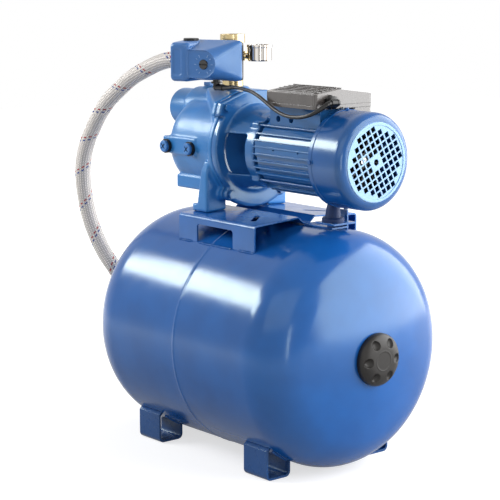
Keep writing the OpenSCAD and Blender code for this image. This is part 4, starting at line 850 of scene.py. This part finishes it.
def passes_over(one, other):
    """1 on the cells of the chessboard where the first family lies on top: the sum of the two
    strand numbers is odd."""
    both = add(tree, "Math", {0: one, 1: other}, operation="ADD").outputs[0]
    odd = add(tree, "Math", {0: both, 1: 2.0}, operation="FLOORED_MODULO").outputs[0]
    return add(tree, "Math", {0: odd, 1: 0.5}, operation="GREATER_THAN").outputs[0]


print("braid strands every", round(LEAD_ALONG / STRANDS * 1000, 2), "mm along the hose")

# %% [markdown]
# The strand on top gives the height, and with it the colour: bright on its crown and dark in the
# gaps, as painted highlight and painted shade. Single wires are far too fine to show and scatter
# light every way, so the steel is drawn with Metallic 0.25 and half rough. The tracers replace its
# colour where their own thread passes over. They aren't metal, so Metallic drops to nothing there.

# %% Weave and tracers
up_number, up_across = strand("ADD", STRANDS)
down_number, down_across = strand("SUBTRACT", STRANDS)
over = passes_over(up_number, down_number)
height = add(tree, "Mix", {"Factor": over, "A": crown(down_across), "B": crown(up_across)},
             data_type="FLOAT").outputs[0]
thread, aside = strand("SUBTRACT", THREADS)
dashes = passes_over(thread, strand("ADD", THREADS)[0])
narrow = add(tree, "Math", {0: aside, 1: 0.0, 2: 0.24}, operation="COMPARE").outputs[0]


def tracer(first):
    """1 on the dashes of the coloured thread that is number first of the ten."""
    wrapped = add(tree, "Math", {0: thread, 1: float(THREADS)}, operation="FLOORED_MODULO")
    here = add(tree, "Math", {0: wrapped.outputs[0], 1: float(first), 2: 0.5}, operation="COMPARE")
    here = add(tree, "Math", {0: here.outputs[0], 1: dashes}, operation="MULTIPLY")
    return add(tree, "Math", {0: here.outputs[0], 1: narrow}, operation="MULTIPLY").outputs[0]


blue_here, red_here = tracer(0), tracer(1)
# Painted highlight and shade: bright on the top strand's crown, dark in the gaps, and only 0.62 as
# bright where the other family lies on top, as painted sheen.
raised = add(tree, "MapRange", {"Value": height, "From Min": 0.12, "From Max": 0.62})
turned = add(tree, "MapRange", {"Value": over, "To Min": 0.62, "To Max": 1.0})
painted_light_and_shade = add(tree, "Math", {0: raised.outputs[0], 1: turned.outputs[0]}, operation="MULTIPLY")
steel = add(tree, "Mix", {"Factor": painted_light_and_shade.outputs[0], "A": "#453e39", "B": "#fdf8f3"},
            data_type="RGBA")
with_red = add(tree, "Mix", {"Factor": red_here, "A": steel.outputs["Result"], "B": "#a8202c"},
               data_type="RGBA")
with_blue = add(tree, "Mix", {"Factor": blue_here, "A": with_red.outputs["Result"],
                              "B": "#1f3f8c"}, data_type="RGBA")
tree.links.new(with_blue.outputs["Result"], shader.inputs["Base Color"])
coloured = add(tree, "Math", {0: red_here, 1: blue_here}, operation="MAXIMUM").outputs[0]
metallic = add(tree, "MapRange", {"Value": coloured, "To Min": 0.25, "To Max": 0.0})
tree.links.new(metallic.outputs[0], shader.inputs["Metallic"])
shader.inputs["Roughness"].default_value = 0.5
shader.inputs["Specular IOR Level"].default_value = 0.2
rounded_bump(tree, shader, height, 0.9, 0)
print("braid nodes", len(tree.nodes))

# %% [markdown]
# ### Zones
# Two finishes change within one piece. The fan cover's end disc is painted paler than its side, as
# a painted reflection of the key softbox that it faces, and the cross slots of the plugs are
# painted near black as painted shade. A zone is a mask on the place alone, laid over the finish's
# colour, so the solid needs no cut and no second material.


# %% Zones
def zone(material, colour, axis, centres, radius, x_over=-9.0, y_over=-9.0):
    """Lays a colour over a finish where x and y are over the limits and the distance from a line is
    under the radius. The lines run along X through (y, z) or along Y through (x, z)."""
    tree = material.node_tree
    shader = tree.nodes["Principled BSDF"]
    place = add(tree, "SeparateXYZ", {0: add(tree, "TexCoord").outputs["Object"]}).outputs
    across = place[1] if axis == "X" else place[0]
    inside = None
    for a, z in centres:
        da = add(tree, "Math", {0: across, 1: float(a)}, operation="SUBTRACT").outputs[0]
        dz = add(tree, "Math", {0: place[2], 1: float(z)}, operation="SUBTRACT").outputs[0]
        square = add(tree, "Math", {0: dz, 1: dz}, operation="MULTIPLY").outputs[0]
        square = add(tree, "Math", {0: da, 1: da, 2: square}, operation="MULTIPLY_ADD").outputs[0]
        near = add(tree, "Math", {0: square, 1: float(radius) ** 2},
                   operation="LESS_THAN").outputs[0]
        inside = near if inside is None else add(tree, "Math", {0: inside, 1: near},
                                                 operation="MAXIMUM").outputs[0]
    for value, limit in ((place[0], x_over), (place[1], y_over)):
        over = add(tree, "Math", {0: value, 1: float(limit)}, operation="GREATER_THAN").outputs[0]
        inside = add(tree, "Math", {0: inside, 1: over}, operation="MULTIPLY").outputs[0]
    below = shader.inputs["Base Color"].links[0].from_socket
    laid = add(tree, "Mix", {"Factor": inside, "A": below, "B": colour}, data_type="RGBA")
    tree.links.new(laid.outputs["Result"], shader.inputs["Base Color"])


def low_high(name):
    """Lowest and highest corner of a node, in metres."""
    corners = np.array([tuple(c) for c in nodes[name].bound_box])
    return corners.min(0), corners.max(0)


# In metres: how deep and wide the painted pale disc is, and the plugs' radius, face skin and the
# radius of the painted shade in their slots.
DISC_DEPTH, DISC_R = 0.0025, 0.0625
PLUG_R, FACE_SKIN, SLOT_SHADE_R = 0.01, 0.0008, 0.007
disc_face = float(low_high("fan_cover")[1][0])
# Painted reflection: the end disc is made pale blue for the key softbox mirrored in it.
zone(cover_blue, "#85add6", "X", [(0, AXIS_Z)], DISC_R, x_over=disc_face - DISC_DEPTH)
plug_low, plug_high = low_high("side_plugs")
plug_z = (plug_low[2] + plug_high[2]) / 2
# Painted shade: near black laid into the plugs' cross slots, below the face skin, where the
# recesses lie in shade.
zone(plug_blue, "#05080d", "Y", [(plug_low[0] + PLUG_R, plug_z), (plug_high[0] - PLUG_R, plug_z)],
     SLOT_SHADE_R, y_over=plug_low[1] + FACE_SKIN)
print("disc face at", round(disc_face, 4), "plugs at height", round(float(plug_z), 4))

# %% [markdown]
# ## Dressing the frame
# Each node of the frame takes one finish. The table is grouped by what the real piece is made of.

# %% Finishes on nodes
dressed = {
    tank_blue: "tank_shell_front tank_shell_rear tank_flange",
    sheet_blue: "pump_saddle motor_support",
    shaded_strap_blue: "tank_feet",
    cover_blue: "fan_cover fan_cover_screws tie_rods",
    cast_blue: "pump_body rear_shield",
    frame_blue: "motor_frame adapter flange_screws",
    plug_blue: "side_plugs fill_plug drain_plug",
    box_blue: "switch_cover",
    brass: "five_way_fitting gauge_movement seal_seat",
    chrome: "gauge_case",
    zinc: "flange_bolts air_valve saddle_bolts lid_screws "
          "hose_top_end hose_bottom_end hose_elbow",
    bright_steel: "shaft seal_head front_bearing rear_bearing",
    core_steel: "rotor_core stator_core",
    copper: "stator_windings",
    rubber: "body_o_ring plug_washers motor_gland switch_gland_bottom switch_gland_top",
    membrane: "tank_membrane",
    foot_rubber: "motor_foot",
    cap_plastic: "air_valve_cap",
    black_plastic: "switch_base switch_knob fan capacitor",
    impeller_plastic: "impeller diffuser ejector",
    grey_plastic: "terminal_box_base terminal_box_lid",
    white_plastic: "terminal_strip switch_contacts",
    dial_white: "gauge_dial",
    needle_black: "gauge_needle",
    glass: "gauge_glass",
}
new_pieces = {
    braid: [hose],
    rubber: [lead, *reliefs],
    tank_blue: [tank_front, tank_rear, saddle_welds, foot_welds],
    cap_plastic: [cap_skin],
    cast_blue: [body_casting],
    frame_blue: [adapter_casting],
    box_blue: [switch_skin],
    scale_blue: [switch_scale],
    needle_black: [gauge_scale],
}
pairs = [(finish, nodes[name]) for finish, names in dressed.items() for name in names.split()]
pairs += [(finish, piece) for finish, pieces in new_pieces.items() for piece in pieces]
for finish, piece in pairs:
    piece.data.materials.clear()
    piece.data.materials.append(finish)
named = {name for names in dressed.values() for name in names.split()}
print("undressed nodes:", sorted(set(nodes) - named - {"hose", "lead"}), "; new pieces dressed:",
      sum(map(len, new_pieces.values())))

# %% [markdown]
# ## Stage
# A plain pale floor and soft studio light. Camera, mirror and glass rays see plain white beyond
# the object, while the object itself is lit by a dim sky and four lamps. So the floor glows only
# for those rays, more the further it lies from the object. A floor that glowed for all rays would
# light the object from below.

# %% Floor
floor_mesh = bpy.data.meshes.new("floor")
floor_mesh.from_pydata([(-6, -6, 0), (6, -6, 0), (6, 6, 0), (-6, 6, 0)], [], [(0, 1, 2, 3)])
floor = link("floor", floor_mesh)


def seen_directly(tree):
    """1 for a camera, mirror or glass ray, with the ray node's outputs beside it."""
    rays = add(tree, "LightPath").outputs
    seen = add(tree, "Math", {0: rays["Is Camera Ray"], 1: rays["Is Glossy Ray"]},
               operation="MAXIMUM")
    seen = add(tree, "Math", {0: seen.outputs[0], 1: rays["Is Transmission Ray"]},
               operation="MAXIMUM")
    return seen.outputs[0], rays


# Plain paper: matt, and it takes the object's soft shadow.
floor_paper, tree, shader, place = blank("pale paper floor")
shader.inputs["Base Color"].default_value = paint_hex("#b4b4b4")
shader.inputs["Roughness"].default_value = 0.9
shader.inputs["Specular IOR Level"].default_value = 0.0
seen, rays = seen_directly(tree)
apart = add(tree, "VectorMath", {0: place}, operation="LENGTH").outputs["Value"]
to_camera = add(tree, "MapRange", {"Value": apart, "From Min": 0.5, "From Max": 1.5,
                                   "To Min": 0.66, "To Max": 1.0})
# Painted shadow: for mirror rays the glow drops to 0.2 near the object, so that glossy undersides
# mirror a darker floor there.
to_mirror = add(tree, "MapRange", {"Value": apart, "From Min": 0.3, "From Max": 1.4,
                                   "To Min": 0.2, "To Max": 1.0})
shown = add(tree, "Mix", {"Factor": rays["Is Glossy Ray"], "A": to_camera.outputs[0],
                          "B": to_mirror.outputs[0]}, data_type="FLOAT")
glow = add(tree, "Emission", {"Color": "#ffffff", "Strength": shown.outputs[0]})
lit = add(tree, "AddShader", {0: shader.outputs[0], 1: glow.outputs[0]})
either = add(tree, "MixShader", {0: seen, 1: shader.outputs[0], 2: lit.outputs[0]})
tree.links.new(either.outputs[0], tree.nodes["Material Output"].inputs["Surface"])
floor.data.materials.append(floor_paper)
print("floor", floor_paper.name)

# %% [markdown]
# The sky is white to the same rays, and dim to all others, so that the lamps shape the object. The
# key is one large softbox to the right of the picture, and a weaker band stands opposite it on the
# left. A weak fill beside the camera lifts the near sides, and a thin strip close to the camera
# adds one narrow highlight. Lamps of a size are used, because points would give hard shadows.

# %% Sky and lamps
world = bpy.data.worlds.new("studio")
bpy.context.scene.world = world
world.use_nodes = True
sky = world.node_tree
sky.nodes.clear()
seen, rays = seen_directly(sky)
soft = add(sky, "Background", {"Color": "#ffffff", "Strength": 0.28})
white = add(sky, "Background", {"Color": "#ffffff", "Strength": 1.0})
either = add(sky, "MixShader", {0: seen, 1: soft.outputs[0], 2: white.outputs[0]})
add(sky, "OutputWorld", {"Surface": either.outputs[0]})


def round_from(middle, turn, rise, away):
    """Point at that distance from the middle: turn degrees from +X towards +Y, rise degrees up."""
    turn, rise = math.radians(turn), math.radians(rise)
    return middle + away * np.array([math.cos(rise) * math.cos(turn),
                                     math.cos(rise) * math.sin(turn), math.sin(rise)])


def softbox(name, turn, rise, away, wide, high, level):
    """A rectangular lamp aimed at the object's middle, which gives a surface that faces it that
    share of full light. Full light from d metres away takes pi squared times d squared watts."""
    middle = mm(0, 0, 330)
    at = round_from(middle, turn, rise, away)
    lamp = bpy.data.objects.new(name, bpy.data.lights.new(name, "AREA"))
    bpy.context.scene.collection.objects.link(lamp)
    lamp.location = at
    way = middle - at
    lamp.rotation_euler = (math.acos(-way[2] / np.linalg.norm(way)), 0,
                           math.atan2(-way[0], way[1]))
    lamp.data.shape = "RECTANGLE"
    lamp.data.size, lamp.data.size_y = wide, high
    lamp.data.energy = level * math.pi ** 2 * float(way @ way)
    print(name, "lamp", round(lamp.data.energy, 1), "watts")


# Name, turn and rise in degrees, distance, width and height in metres, share of full light.
for lamp in (("key", 49, 18, 2.6, 4.4, 2.9, 3.0), ("back band", -140, 29, 2.4, 1.4, 0.55, 0.72),
             ("fill", -62, 34, 2.6, 2.4, 1.6, 0.18),
             ("front strip", -32, 4, 2.4, 0.12, 0.9, 0.05)):
    softbox(*lamp)

# %% [markdown]
# ## View transform
# The last cell sets the plain Standard view transform.

# %% Finish
bpy.context.scene.view_settings.view_transform = "Standard"
